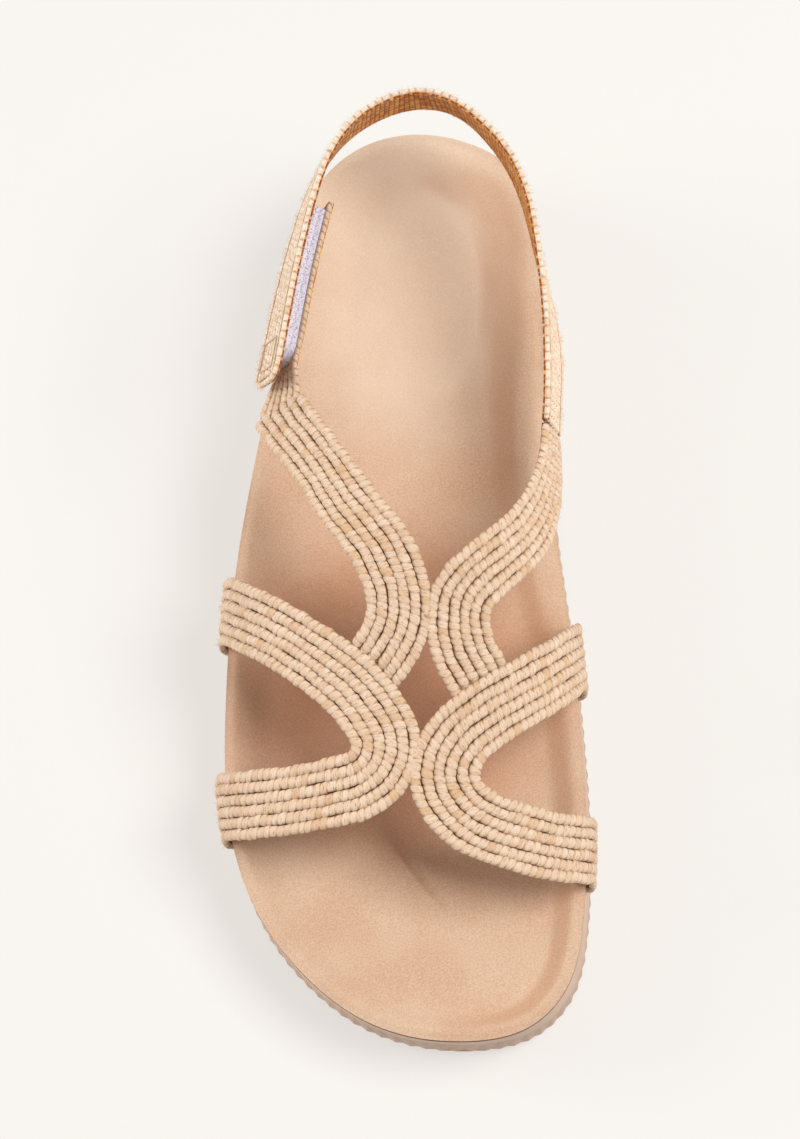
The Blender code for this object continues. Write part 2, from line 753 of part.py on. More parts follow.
def make_closure(finishes, home):
    """The hook and loop pads under the strap's free end, and the tab that carries them."""
    end = strap_path()[0][-1]
    start = end - TAB_LENGTH
    depth = CLEARANCE
    for name, finish in zip(("loop_pad", "hook_pad"), finishes):
        depth += PAD_WALL
        path = inner_path(depth, start + PAD_MARGIN, end - 2 * PAD_MARGIN)
        loft(name, strap_rings(path, flat_section(PAD_WIDTH, PAD_WALL)), finish, home, 30)
        depth += CLEARANCE
    joint = band_end(OUTER_REAR)
    path = inner_path(depth + TAB_WALL, start, end - PAD_MARGIN, joint)
    rings = strap_rings(path, flat_section(TAB_WIDTH, TAB_WALL), joint)
    loft("closure_tab", rings, finishes[2], home, 30)


def main():
    for thing in list(bpy.data.objects):
        bpy.data.objects.remove(thing)
    home = collection("raffia_sandal")
    cutters = collection("cutters", hidden=True)
    rubber = material("sole_rubber", (0.52, 0.39, 0.31), 0.6)
    body = material("footbed_side", (0.55, 0.40, 0.32), 0.65)
    suede = material("suede", (0.76, 0.55, 0.37), 0.9)
    raffia = material("raffia", (0.83, 0.67, 0.47), 0.7)
    weave = material("raffia_weave", (0.80, 0.70, 0.53), 0.75)
    loops = material("loop_tape", (0.62, 0.58, 0.70), 0.9)
    hooks = material("hook_tape", (0.66, 0.62, 0.72), 0.6)
    make_outsole(rubber, home, cutters)
    footbed = make_footbed(body, home)
    make_cover(suede, home)
    make_upper(raffia, home, cutters)
    cut_foot_slots(footbed, cutters)
    make_heel_strap(weave, home)
    make_closure((loops, hooks, weave), home)


main()
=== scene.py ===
# %% [markdown]
# # Dressing a raffia sandal
#
# The packed sandal gives plain solids at their true size: a toothed outsole, a footbed, a suede cover,
# four corded bands, a heel strap and its hook-and-loop. This lesson gives them their real surfaces. It
# works from the ground up: camera and light, the shapes that every piece lies on, the footbed, the
# wrapped cords, the woven straps, the fastening, and last the stitches. Each cell makes one thing and
# prints what it made.

import math

import bmesh
import bpy
import numpy as np
from mathutils import Matrix, Vector


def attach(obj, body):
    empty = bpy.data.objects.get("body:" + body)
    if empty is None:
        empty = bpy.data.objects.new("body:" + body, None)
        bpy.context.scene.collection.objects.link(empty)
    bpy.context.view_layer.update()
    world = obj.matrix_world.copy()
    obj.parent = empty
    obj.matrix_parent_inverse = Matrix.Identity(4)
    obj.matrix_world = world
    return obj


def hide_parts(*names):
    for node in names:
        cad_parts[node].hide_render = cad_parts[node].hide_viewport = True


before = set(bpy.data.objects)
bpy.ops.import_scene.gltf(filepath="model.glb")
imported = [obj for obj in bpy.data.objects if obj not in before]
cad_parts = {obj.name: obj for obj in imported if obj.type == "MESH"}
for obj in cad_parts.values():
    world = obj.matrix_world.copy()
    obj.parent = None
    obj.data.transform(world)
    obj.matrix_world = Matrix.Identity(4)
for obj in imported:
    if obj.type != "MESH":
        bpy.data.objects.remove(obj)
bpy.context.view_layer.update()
scene = bpy.context.scene

# %% [markdown]
# ## The camera
#
# The sandal is seen from above and a little in front, 70 degrees over the floor, toes towards the viewer.
# A camera can be aimed by a Track To constraint, but that always keeps the picture's up side over the
# world's Z, and from this steep a view it would turn the sandal round in the frame. So the aim is worked
# out: the view runs from the eye to the middle of the sandal, and the picture's right side stays along
# world X.

# %% Camera
EYE = Vector((0.0565, -0.3341, 0.9867))
AIM = Vector((-0.0020, 0.0010, 0.0280))
LENS = 121.5
SENSOR = 36.0


def add_camera(eye, aim):
    ahead = (aim - eye).normalized()
    right = (Vector((1, 0, 0)) - ahead * ahead.x).normalized()
    up = right.cross(ahead)
    data = bpy.data.cameras.new("camera")
    data.lens = LENS
    data.sensor_width = SENSOR
    made = bpy.data.objects.new("camera", data)
    turn = Matrix((right, up, -ahead)).transposed().to_4x4()
    made.matrix_world = Matrix.Translation(eye) @ turn
    scene.collection.objects.link(made)
    scene.camera = made


add_camera(EYE, AIM)
print("camera to sandal:", round((AIM - EYE).length, 3), "m, lens", LENS, "mm")

# %% [markdown]
# ## Nodes by hand
#
# Materials and Geometry Nodes are both trees of nodes. `put` adds one node, sets its options, and feeds
# its inputs from numbers or from other nodes' sockets, so a tree reads as a list of steps. A `Number`
# stands for a value inside a tree: a sum written with it, such as `run * 2.0 + turn`, becomes a row of
# Math nodes.

# %% Node helpers
def feed(tree, entry, value):
    """Joins an input to another node's socket, or sets it to a plain value."""
    value = value.socket if isinstance(value, Number) else value
    if isinstance(value, bpy.types.NodeSocket):
        tree.links.new(value, entry)
    else:
        entry.default_value = value


def put(tree, kind, inputs=None, **options):
    node = tree.nodes.new(kind)
    for name, value in options.items():
        setattr(node, name, value)
    for key, value in (inputs or {}).items():
        feed(tree, node.inputs[key], value)
    return node


def calc(tree, operation, *values):
    node = put(tree, "ShaderNodeMath", dict(enumerate(values)), operation=operation)
    return Number(tree, node.outputs[0])


class Number:
    """A value inside a node tree; the sums written with it become Math nodes."""

    def __init__(self, tree, socket):
        self.tree = tree
        self.socket = socket

    def math(self, operation, *others):
        return calc(self.tree, operation, self, *others)

    def __add__(self, other):
        return self.math("ADD", other)

    def __sub__(self, other):
        return self.math("SUBTRACT", other)

    def __rsub__(self, other):
        return calc(self.tree, "SUBTRACT", other, self)

    def __mul__(self, other):
        return self.math("MULTIPLY", other)

    def __truediv__(self, other):
        return self.math("DIVIDE", other)

    def __pow__(self, power):
        return self.math("POWER", power)


def numbers(tree, sockets):
    return [Number(tree, socket) for socket in sockets]


def vector(tree, **parts):
    """A vector from its parts X, Y and Z; a part that isn't given is 0."""
    return put(tree, "ShaderNodeCombineXYZ", parts).outputs[0]


def noise(tree, place, scale, detail):
    inputs = {"Vector": place, "Scale": scale, "Detail": detail}
    return Number(tree, put(tree, "ShaderNodeTexNoise", inputs).outputs[0])


def new_tree(name, kind, inputs, outputs):
    """An empty node group with its named inputs and outputs."""
    tree = bpy.data.node_groups.new(name, kind)
    for way, sockets in (("INPUT", inputs), ("OUTPUT", outputs)):
        for socket, what in sockets.items():
            tree.interface.new_socket(socket, in_out=way, socket_type="NodeSocket" + what)
    return tree


def colour(code):
    """A colour from its hex code, as the linear red, green, blue and alpha that sockets take."""
    parts = [int(code[i : i + 2], 16) / 255 for i in (1, 3, 5)]
    return tuple(c / 12.92 if c <= 0.04045 else ((c + 0.055) / 1.055) ** 2.4 for c in parts) + (1.0,)


def new_material(name, base, roughness, specular, sheen=0.0):
    """A material and its shader, with the values that are the same all over the surface."""
    made = bpy.data.materials.new(name)
    made.use_nodes = True
    shader = made.node_tree.nodes["Principled BSDF"]
    shader.inputs["Base Color"].default_value = colour(base)
    shader.inputs["Roughness"].default_value = roughness
    shader.inputs["Specular IOR Level"].default_value = specular
    shader.inputs["Sheen Weight"].default_value = sheen
    shader.inputs["Sheen Roughness"].default_value = 0.4
    return made, made.node_tree, shader


print("suede in linear colour:", [round(c, 3) for c in colour("#E6C7A5")])

# %% [markdown]
# ## Floor and light
#
# The sandal stands on a pale seamless floor under soft studio light: a warm surround fills every shadow,
# and one broad lamp over the inner side gives the cords their modelling and lays a soft shadow to the
# outer side, where a low one lightens the closure. A sun lamp would be simpler, but its edge is too hard.
# The floor glows a little of itself, which keeps its shadow as pale as a lit paper sweep's, and the
# picture is shown with the Standard view transform, so that the pale floor stays pale.

# %% Floor, surround and lamps
FLOOR_SIZE = 6.0
SURROUND = 0.47
KEY_PLACE = Vector((0.74, 0.02, 1.20))
KEY_SIZE = 0.80
KEY_POWER = 16.4
FILL_PLACE = Vector((-1.15, 0.15, 0.42))
FILL_POWER = 9.5


def add_floor():
    shape = bmesh.new()
    bmesh.ops.create_grid(shape, x_segments=1, y_segments=1, size=FLOOR_SIZE / 2)
    mesh = bpy.data.meshes.new("floor")
    shape.to_mesh(mesh)
    shape.free()
    made = bpy.data.objects.new("floor", mesh)
    finish, _, shader = new_material("floor_paper", "#92928F", 0.9, specular=0.1)
    shader.inputs["Emission Color"].default_value = colour("#FCF8F5")
    shader.inputs["Emission Strength"].default_value = 0.59
    mesh.materials.append(finish)
    scene.collection.objects.link(made)


def add_lamp(name, place, size, power, tint):
    data = bpy.data.lights.new(name, "AREA")
    data.shape = "DISK"
    data.size = size
    data.energy = power
    data.color = tint
    made = bpy.data.objects.new(name, data)
    made.location = place
    made.rotation_euler = (AIM - place).to_track_quat("-Z", "Y").to_euler()
    scene.collection.objects.link(made)


def add_surround():
    world = bpy.data.worlds.new("studio")
    world.use_nodes = True
    inputs = world.node_tree.nodes["Background"].inputs
    inputs["Color"].default_value = (1.0, 0.955, 0.91, 1)
    inputs["Strength"].default_value = SURROUND
    scene.world = world


add_floor()
add_surround()
add_lamp("key_lamp", KEY_PLACE, KEY_SIZE, KEY_POWER, (1.0, 0.985, 0.965))
add_lamp("fill_lamp", FILL_PLACE, KEY_SIZE, FILL_POWER, (1.0, 0.99, 0.98))
scene.view_settings.view_transform = "Standard"
print("surround", SURROUND, "and lamps of", KEY_POWER, "and", FILL_POWER, "W")

# %% [markdown]
# ## The sole's outline
#
# Everything on a sandal follows two forms: the outline of the sole and the last, which is the foot shape
# that the bands are pulled over. Both are given as short tables, a row for each section, and read through
# a smooth spline. The numbers are shares of a few real sizes, as a pattern maker would grade them.

# %% Sizes and the outline
SOLE_LENGTH = 0.2485
BALL_WIDTH = 0.0950
HEEL_RIM = 0.0365
FORE_RIM = 0.0230
INSTEP = 0.0430
OUTLINE = (
    (1.000, 0.330), (0.997, 0.100), (0.978, -0.205), (0.933, -0.520), (0.876, -0.760), (0.815, -0.905),
    (0.735, -0.985), (0.645, -1.000), (0.488, -0.955), (0.403, -0.890), (0.319, -0.810), (0.226, -0.730),
    (0.130, -0.672), (0.062, -0.550), (0.015, -0.300), (0.000, 0.020), (0.013, 0.337), (0.047, 0.590),
    (0.105, 0.712), (0.200, 0.742), (0.300, 0.752), (0.420, 0.802), (0.552, 0.900), (0.677, 0.970),
    (0.800, 1.000), (0.878, 0.980), (0.940, 0.905), (0.984, 0.700),
)
print("sole:", round(1000 * SOLE_LENGTH, 1), "mm long,", round(1000 * BALL_WIDTH, 1), "mm wide at the ball")

# %% [markdown]
# ### Smooth curves
#
# A few rows become a smooth curve by a cubic spline, the same that a flexible ruler gives. Blender's own
# curve objects could do it, but here each curve is also asked how long it is and where a point a given
# way along it lies, so the spline is worked out with numpy.

# %% Splines and runs
def spline(knots, values, at, closed=False):
    """Cubic spline through rows of values at the knots, natural or closed, read at the places asked for."""
    knots = np.asarray(knots, float)
    at = np.atleast_1d(np.asarray(at, float))
    values = np.asarray(values, float).reshape(len(knots), -1)
    step = np.diff(knots)
    slope = np.diff(values, axis=0) / step[:, None]
    last = len(knots) - 1
    matrix = np.zeros((last + 1, last + 1))
    right = np.zeros_like(values)
    for i in range(1, last):
        matrix[i, i - 1 : i + 2] = step[i - 1], 2 * (step[i - 1] + step[i]), step[i]
        right[i] = 6 * (slope[i] - slope[i - 1])
    if closed:
        matrix[0, [0, last]] = 1, -1
        matrix[last, [0, 1, last - 1, last]] = 2 * step[0], step[0], step[-1], 2 * step[-1]
        right[last] = 6 * (slope[0] - slope[-1])
    else:
        matrix[0, 0] = matrix[last, last] = 1
    bend = np.linalg.solve(matrix, right)
    i = np.clip(np.searchsorted(knots, at) - 1, 0, last - 1)
    h = step[i][:, None]
    a = (knots[i + 1] - at)[:, None]
    b = (at - knots[i])[:, None]
    curve = (bend[i] * a**3 + bend[i + 1] * b**3) / (6 * h)
    return curve + (values[i] / h - bend[i] * h / 6) * a + (values[i + 1] / h - bend[i + 1] * h / 6) * b


def run_length(points):
    return np.concatenate([[0], np.cumsum(np.linalg.norm(np.diff(points, axis=0), axis=1))])


def read_at(places, run, rows):
    """Rows of values known along a run, read at the places asked for."""
    return np.stack([np.interp(places, run, column) for column in rows.T], 1)


def unit(vectors):
    return vectors / np.linalg.norm(vectors, axis=-1, keepdims=True)


def ease(share):
    share = np.clip(share, 0, 1)
    return share * share * (3 - 2 * share)


def table(rows, column, at):
    rows = np.array(rows, float)
    at = np.asarray(at, float)
    return spline(rows[:, 0], rows[:, column], at.ravel())[:, 0].reshape(at.shape)


print("halfway between 0 and 1, eased:", float(ease(0.5)))


# %% Outline
def smooth_outline():
    rows = np.array(OUTLINE + OUTLINE[:1])
    points = np.stack([rows[:, 1] * BALL_WIDTH / 2, (0.5 - rows[:, 0]) * SOLE_LENGTH], 1)
    knots = run_length(points)
    return spline(knots, points, np.linspace(0, knots[-1], 1601), closed=True)


outline = smooth_outline()
heel_end = int(outline[:, 1].argmax())


def outline_ring(count):
    """(points, outward normals) at count even steps round the outline, half of them on each side."""
    halves = []
    for curve in (outline[: heel_end + 1], outline[heel_end:]):
        run = run_length(curve)
        even = np.linspace(0, run[-1], count // 2, endpoint=False)
        halves.append(read_at(even, run, curve))
    points = np.vstack(halves)
    tangent = unit(np.roll(points, -1, axis=0) - np.roll(points, 1, axis=0))
    return points, np.stack([-tangent[:, 1], tangent[:, 0]], 1)


def edges_at(y):
    """(outer, inner) x of the outline at y."""
    outer = outline[: heel_end + 1]
    inner = outline[heel_end:][::-1]
    return np.interp(y, outer[:, 1], outer[:, 0]), np.interp(y, inner[:, 1], inner[:, 0])


print("outline:", round(1000 * run_length(outline)[-1]), "mm round")

# %% [markdown]
# ## The last
#
# The bands lie on an arch that rises over the footbed: at every place along the foot it is half an
# ellipse from rim to rim, its crown shifted to the inner side, where the instep is. A point of it is
# found from how far round it lies, in degrees, and how far along. Past a rim the surface runs down the
# footbed's wall and turns in under it, which is where the front bands are tucked away.

# %% The last as a surface
FOOTBED = (
    (0.00, 1.00, 0.95, 1.00), (0.12, 1.00, 1.00, 1.00), (0.22, 0.94, 1.00, 1.00), (0.32, 0.78, 0.90, 0.95),
    (0.42, 0.56, 0.75, 0.90), (0.54, 0.32, 0.60, 0.75), (0.64, 0.12, 0.52, 0.60), (0.74, 0.03, 0.50, 0.55),
    (0.86, 0.00, 0.50, 0.50), (1.00, -0.05, 0.50, 0.42),
)
LAST = (
    (0.30, 1.44, 0.21), (0.38, 1.30, 0.19), (0.46, 1.14, 0.15), (0.54, 1.00, 0.105), (0.62, 0.84, 0.085),
    (0.70, 0.70, 0.063), (0.78, 0.58, 0.042), (0.90, 0.44, 0.021),
)
WALL_SEAT = 0.0005
WALL_DROP = 0.0030
FOOT_BEND = 0.0012
FOOT_TURN = math.radians(60)
WALL_PER_DEGREE = 0.0006


def rim_height(along):
    return FORE_RIM + table(FOOTBED, 1, along) * (HEEL_RIM - FORE_RIM)


def last_point(around, along):
    around, along = np.broadcast_arrays(np.asarray(around, float), np.asarray(along, float))
    y = (0.5 - along) * SOLE_LENGTH
    outer, inner = edges_at(y)
    half = (inner - outer) / 2 + WALL_SEAT
    crown = INSTEP * table(LAST, 1, along)
    shift = BALL_WIDTH / 2 * table(LAST, 2, along)
    over = np.radians(np.clip(around, 0, 180))
    past = WALL_PER_DEGREE * np.maximum(np.maximum(-around, around - 180), 0)
    bent = np.clip((past - WALL_DROP) / FOOT_BEND, 0, FOOT_TURN)
    tucked = np.maximum(past - WALL_DROP - FOOT_BEND * FOOT_TURN, 0)
    inwards = FOOT_BEND * (1 - np.cos(bent)) + tucked * math.sin(FOOT_TURN)
    down = np.minimum(past, WALL_DROP) + FOOT_BEND * np.sin(bent) + tucked * math.cos(FOOT_TURN)
    x = (outer + inner) / 2 - (half - inwards) * np.cos(over) + shift * np.sin(over)
    return np.stack([x, y, rim_height(along) + crown * np.sin(over) - down], -1)


def last_frame(around, along):
    """Slopes of the last over a degree and over the length, and its outward normal."""
    degree = 0.02
    length = 1e-4
    by_around = (last_point(around + degree, along) - last_point(around - degree, along)) / (2 * degree)
    by_along = (last_point(around, along + length) - last_point(around, along - length)) / (2 * length)
    return by_around, by_along, unit(np.cross(by_along, by_around))


crown_over_ball = last_point(90, 0.62)
print("crown over the ball:", [round(1000 * float(v), 1) for v in crown_over_ball], "mm")

# %% [markdown]
# ## The footbed
#
# Under the foot lies a moulded body with a suede cover glued over it. Its surface has a raised rim, a
# deep heel cup, an arch rise on the inner side and a soft bar where the toes grip. Sculpting it by hand
# would be one way, but a height formula over rings that shrink from the outline to a middle line keeps
# the edge exact and lets each form be one named term. The cover's cut edge is rounded over by three small
# rings.

# %% Footbed surface
COVER = 0.0014
CUP_DEPTH = 0.0065
BORDER = 0.0170
CREST_ROUND = 0.0009
ARCH_RISE = 0.0050
ARCH_PLACE = 0.42
ARCH_SPREAD = 0.10
BAR_RISE = 0.0016
BAR_REACH = 0.0085
BAR_PLACE = (0.020, 0.315)
BAR_SLANT = 0.45
HEEL_OVAL = (0.0000, 0.0800, 0.0200, 0.0330)
OVAL_EDGE = (0.86, 0.20)
OVAL_DEPTH = 0.0006


def footbed_height(x, y, inset):
    """Top of the suede cover, at a distance in from the outline."""
    along = np.clip(0.5 - y / SOLE_LENGTH, 0, 1)
    outer, inner = edges_at(y)
    side = (2 * x - outer - inner) / np.maximum(inner - outer, BALL_WIDTH / 4)
    border = BORDER * table(FOOTBED, 3, along)
    cup = CUP_DEPTH * table(FOOTBED, 2, along) * ease((inset - COVER) / border)
    crest = CREST_ROUND * (1 - ease(inset / (2 * COVER)))
    arch = ARCH_RISE * np.exp(-(((along - ARCH_PLACE) / ARCH_SPREAD) ** 2))
    arch = arch * ease((side - 0.05) / 0.75) * ease(inset / (BORDER / 2))
    bar_x = x - BAR_PLACE[0] * BALL_WIDTH
    bar_y = y + BAR_PLACE[1] * SOLE_LENGTH + BAR_SLANT * bar_x
    bar = BAR_RISE * np.exp(-((bar_x / (2 * BAR_REACH)) ** 2) - (bar_y / BAR_REACH) ** 2)
    middle_x, middle_y, half_width, half_length = HEEL_OVAL
    oval = np.hypot((x - middle_x) / half_width, (y - middle_y) / half_length)
    seat = OVAL_DEPTH * (1 - ease((oval - OVAL_EDGE[0]) / OVAL_EDGE[1]))
    return rim_height(along) - cup - crest + arch + bar - seat


heel_middle = footbed_height(0.0, 0.08, BORDER)
print("footbed under the heel:", round(1000 * float(heel_middle), 1), "mm high")

# %% Rings of the footbed
FOOTBED_POINTS = 360
EDGE_INSETS = (
    0.0000, 0.0003, 0.0008, 0.0015, 0.0024, 0.0034, 0.0045, 0.0057, 0.0070, 0.0084, 0.0099, 0.0115, 0.0132,
    0.0150, 0.0170,
)
MIDDLE_SHARES = (0.92, 0.84, 0.76, 0.68, 0.60, 0.52, 0.44, 0.36, 0.28, 0.20, 0.12, 0.05)
SPINE_STOP = 0.22


def between(first, second, count):
    """Quads between two closed rings of count points, given by their first index."""
    return [
        (first + i, first + (i + 1) % count, second + (i + 1) % count, second + i) for i in range(count)
    ]


def footbed_plan(count, insets, shares):
    """Rings in from the outline, then rings closing on a middle line: plan points, insets and faces."""
    edge, outward = outline_ring(count)
    rings = [edge - outward * inset for inset in insets]
    half = count // 2
    middle = (rings[-1] + np.roll(rings[-1][::-1], 1, axis=0)) / 2
    inside = np.abs(rings[-1][:, 1]) < SOLE_LENGTH / 2 - insets[-1] - BALL_WIDTH * SPINE_STOP
    seats = [i for i in range(half + 1) if inside[i] and inside[-i % count]]
    nearest = [min(max(i, seats[0]), seats[-1]) for i in range(half + 1)]
    folded = [nearest[min(i, count - i)] for i in range(count)]
    line = middle[folded]
    last_ring = rings[-1]
    rings += [line + (last_ring - line) * share for share in shares]
    spine = middle[seats[0] : seats[-1] + 1]
    depth = [np.full(count, inset) for inset in insets]
    depth += [insets[-1] + np.linalg.norm(ring - last_ring, axis=1) for ring in rings[len(insets) :]]
    spine_depth = insets[-1] + np.linalg.norm(spine - last_ring[seats[0] : seats[-1] + 1], axis=1)
    faces = []
    for k in range(len(rings) - 1):
        faces += between(k * count, (k + 1) * count, count)
    start = len(rings) * count
    for i in range(count):
        after = (i + 1) % count
        a, b = start + folded[i] - seats[0], start + folded[after] - seats[0]
        ring = start - count
        faces.append((ring + i, ring + after, b, a) if a != b else (ring + i, ring + after, a))
    return np.vstack(rings + [spine]), np.concatenate(depth + [spine_depth]), faces


plan, depth, plan_faces = footbed_plan(FOOTBED_POINTS, EDGE_INSETS, MIDDLE_SHARES)
print("footbed surface:", len(plan), "points")

# %% [markdown]
# ### From points to a piece
#
# A piece is a mesh with a material, which rides on the sandal's one body and stands in for a solid. Blender
# can turn a mesh's faces outwards by itself, once they join up, and it shades them smooth except where
# two meet at a sharp angle.


def settle(piece, node):
    """A piece rides on the sandal's one body and takes its solid's place."""
    scene.collection.objects.link(piece)
    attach(piece, "root")
    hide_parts(node)
    return piece


def new_mesh(name, points, edges, faces):
    mesh = bpy.data.meshes.new(name)
    mesh.from_pydata(np.asarray(points, float).tolist(), edges, faces)
    return mesh


def keep_values(mesh, name, values):
    """A number or a vector for each point of a mesh, stored on it for its material or its tree."""
    values = np.asarray(values, np.float32)
    kind, key = ("FLOAT", "value") if values.ndim == 1 else ("FLOAT_VECTOR", "vector")
    mesh.attributes.new(name, kind, "POINT").data.foreach_set(key, values.ravel())


def mesh_piece(name, points, faces, finish, node, crease):
    """A piece from points and faces, its normals turned outwards, sharp past the crease angle."""
    mesh = new_mesh(name, points, [], faces)
    shape = bmesh.new()
    shape.from_mesh(mesh)
    bmesh.ops.recalc_face_normals(shape, faces=shape.faces)
    shape.to_mesh(mesh)
    shape.free()
    mesh.shade_smooth()
    mesh.set_sharp_from_angle(angle=math.radians(crease))
    mesh.materials.append(finish)
    return settle(bpy.data.objects.new(name, mesh), node)


# %% [markdown]
# ### Suede
#
# Suede is split leather with its nap brushed up: matt, softly speckled, with patches where the nap lies
# the other way. Fine noise drives a small bump and a speckle, broad noise shifts the tone, and a little
# sheen lights it at grazing angles. Painted shade lies under the bands and painted light on the heel, as
# two soft spots. The speckle group is shared with the other napped and fibrous finishes.

# %% Shared effect: speckle
def speckle_group():
    inputs = {"Vector": "Vector", "Grain": "Float", "Patch": "Float"}
    tree = new_tree("speckle", "ShaderNodeTree", inputs, {"Fine": "Float", "Broad": "Float"})
    entry = put(tree, "NodeGroupInput").outputs
    fine = noise(tree, entry["Vector"], entry["Grain"], 3.0)
    broad = noise(tree, entry["Vector"], entry["Patch"], 2.0)
    put(tree, "NodeGroupOutput", {"Fine": fine, "Broad": broad})
    return tree


speckle = speckle_group()


def speckled(tree, place, grain, patch):
    """The speckle group in a material, its fine and its broad marks."""
    inputs = {"Vector": place, "Grain": grain, "Patch": patch}
    return numbers(tree, put(tree, "ShaderNodeGroup", inputs, node_tree=speckle).outputs)


def object_place(tree):
    return put(tree, "ShaderNodeTexCoord").outputs["Object"]


def attribute(tree, name, output="Fac"):
    return put(tree, "ShaderNodeAttribute", attribute_name=name).outputs[output]


def mixed(tree, factor, first, second):
    """A colour between two, each a socket or a hex code."""
    node = put(tree, "ShaderNodeMix", {"Factor": factor}, data_type="RGBA")
    for key, value in (("A", first), ("B", second)):
        entry = next(s for s in node.inputs if s.name == key and s.type == "RGBA")
        feed(tree, entry, colour(value) if isinstance(value, str) else value)
    return next(s for s in node.outputs if s.type == "RGBA")


def ramp(tree, value, low, high, to_low=0.0, to_high=1.0):
    inputs = {"Value": value, "From Min": low, "From Max": high, "To Min": to_low, "To Max": to_high}
    node = put(tree, "ShaderNodeMapRange", inputs, interpolation_type="SMOOTHSTEP")
    return Number(tree, node.outputs["Result"])


def coat(tree, shader, tone, height, distance, strength):
    """Joins a material's colour and its bump to its shader."""
    relief = put(tree, "ShaderNodeBump", {"Height": height, "Distance": distance, "Strength": strength})
    feed(tree, shader.inputs["Base Color"], tone)
    feed(tree, shader.inputs["Normal"], relief.outputs[0])


print("speckle group:", len(speckle.nodes), "nodes")

# %% Suede finish
FOLD_PLACE = (0.0032, -0.0805)
FOLD_HALF = 0.0110
FOLD_WAY = (0.617, 0.787)
FOLD_BEND = 3.5
# Spots of painted shade under the bands and of painted light on the heel: middles and half sizes.
BAND_SHADE_SPOT = ((-0.004, -0.030), (0.050, 0.054))
HEEL_LIGHT_SPOT = ((-0.002, 0.082), (0.036, 0.060))


def fold_with_shade(tree, place):
    """A short pressed fold beside the toe bar: (height of its step, painted shade along its line)."""
    x, y = FOLD_PLACE
    centred = put(tree, "ShaderNodeMapping", {"Vector": place, "Location": (-x, -y, 0)}).outputs[0]
    x, y = numbers(tree, put(tree, "ShaderNodeSeparateXYZ", {"Vector": centred}).outputs[:2])
    cos, sin = FOLD_WAY
    run = x * cos - y * sin
    side = x * sin + y * cos - run * run * FOLD_BEND
    near = ramp(tree, run.math("ABSOLUTE"), FOLD_HALF * 0.4, FOLD_HALF * 1.3, 1.0, 0.0)
    line = ramp(tree, side.math("ABSOLUTE"), 0.0001, 0.0011, 1.0, 0.0) * near
    step = ramp(tree, side, -0.0006, 0.0022, 1.0, 0.0) * near
    return step, line


def painted_spot(tree, place, spot, strength):
    """How strongly a soft round spot of painted light and shade lies on the footbed, from its middle and
    half sizes.
    """
    (x, y), (half_x, half_y) = spot
    shift, scale = (-x / half_x, -y / half_y, 0), (1 / half_x, 1 / half_y, 0)
    seat = put(tree, "ShaderNodeMapping", {"Vector": place, "Location": shift, "Scale": scale}).outputs[0]
    away = put(tree, "ShaderNodeVectorMath", {0: seat}, operation="LENGTH").outputs["Value"]
    return ramp(tree, away, 0.45, 1.10, strength, 0.0)


def suede():
    made, tree, shader = new_material("suede", "#E0BB93", 0.92, sheen=0.25, specular=0.15)
    place = object_place(tree)
    fine, broad = speckled(tree, place, 2600.0, 45.0)
    nap = mixed(tree, ramp(tree, broad, 0.35, 0.65), "#D0B297", "#C7A285")
    grain = mixed(tree, ramp(tree, fine, 0.30, 0.70), "#B88F74", "#DFC8B2")
    tone = mixed(tree, 0.40, nap, grain)
    # painted shade, darker and warmer, under the bands over the ball of the foot
    tone = mixed(tree, painted_spot(tree, place, BAND_SHADE_SPOT, 0.36), tone, "#B0602F")
    # painted light on the heel, lifting the shade that the strap casts there
    tone = mixed(tree, painted_spot(tree, place, HEEL_LIGHT_SPOT, 0.46), tone, "#EAD9C6")
    # painted shade on the cover's slopes, most where they face away from the key lamp
    tone = mixed(tree, ramp(tree, attribute(tree, "slope"), 0.02, 0.80, 0.0, 0.34), tone, "#A87048")
    step, line = fold_with_shade(tree, place)
    # painted shade along the fold's line
    tone = mixed(tree, line * 0.30, tone, "#A8704A")
    coat(tree, shader, tone, fine * 0.35 + step * 1.6, 0.0006, 0.6)
    return made


suede_finish = suede()
print("suede:", len(suede_finish.node_tree.nodes), "nodes")

# %% [markdown]
# ### The suede cover
#
# The cover is one cut of suede glued over the whole footbed, its edge left raw, so a dark fibrous line
# shows all round under the pale nap, partly the raw suede and partly painted shade of the groove below it.
# It is the height formula laid over the rings of the plan, with one more ring below for the cut side,
# which takes the second material. How steep each place is goes onto the mesh as an attribute, most where
# it faces away from the key lamp, and the suede paints shade by it.

# %% Suede cover
SLOPE_INSET = 0.0020


def cut_edge_and_shade():
    """The cut side of the suede: fibrous, dark partly as raw suede and partly as painted shade of the
    groove below it.
    """
    made, tree, shader = new_material("suede_cut_edge_shade", "#6B4330", 0.9, sheen=0.2, specular=0.1)
    fine, _ = speckled(tree, object_place(tree), 1800.0, 160.0)
    tone = mixed(tree, ramp(tree, fine, 0.35, 0.65), "#4C2A1B", "#7E4D34")
    coat(tree, shader, tone, fine, 0.0002, 0.6)
    return made


cover_top = np.column_stack([plan, footbed_height(plan[:, 0], plan[:, 1], depth)])


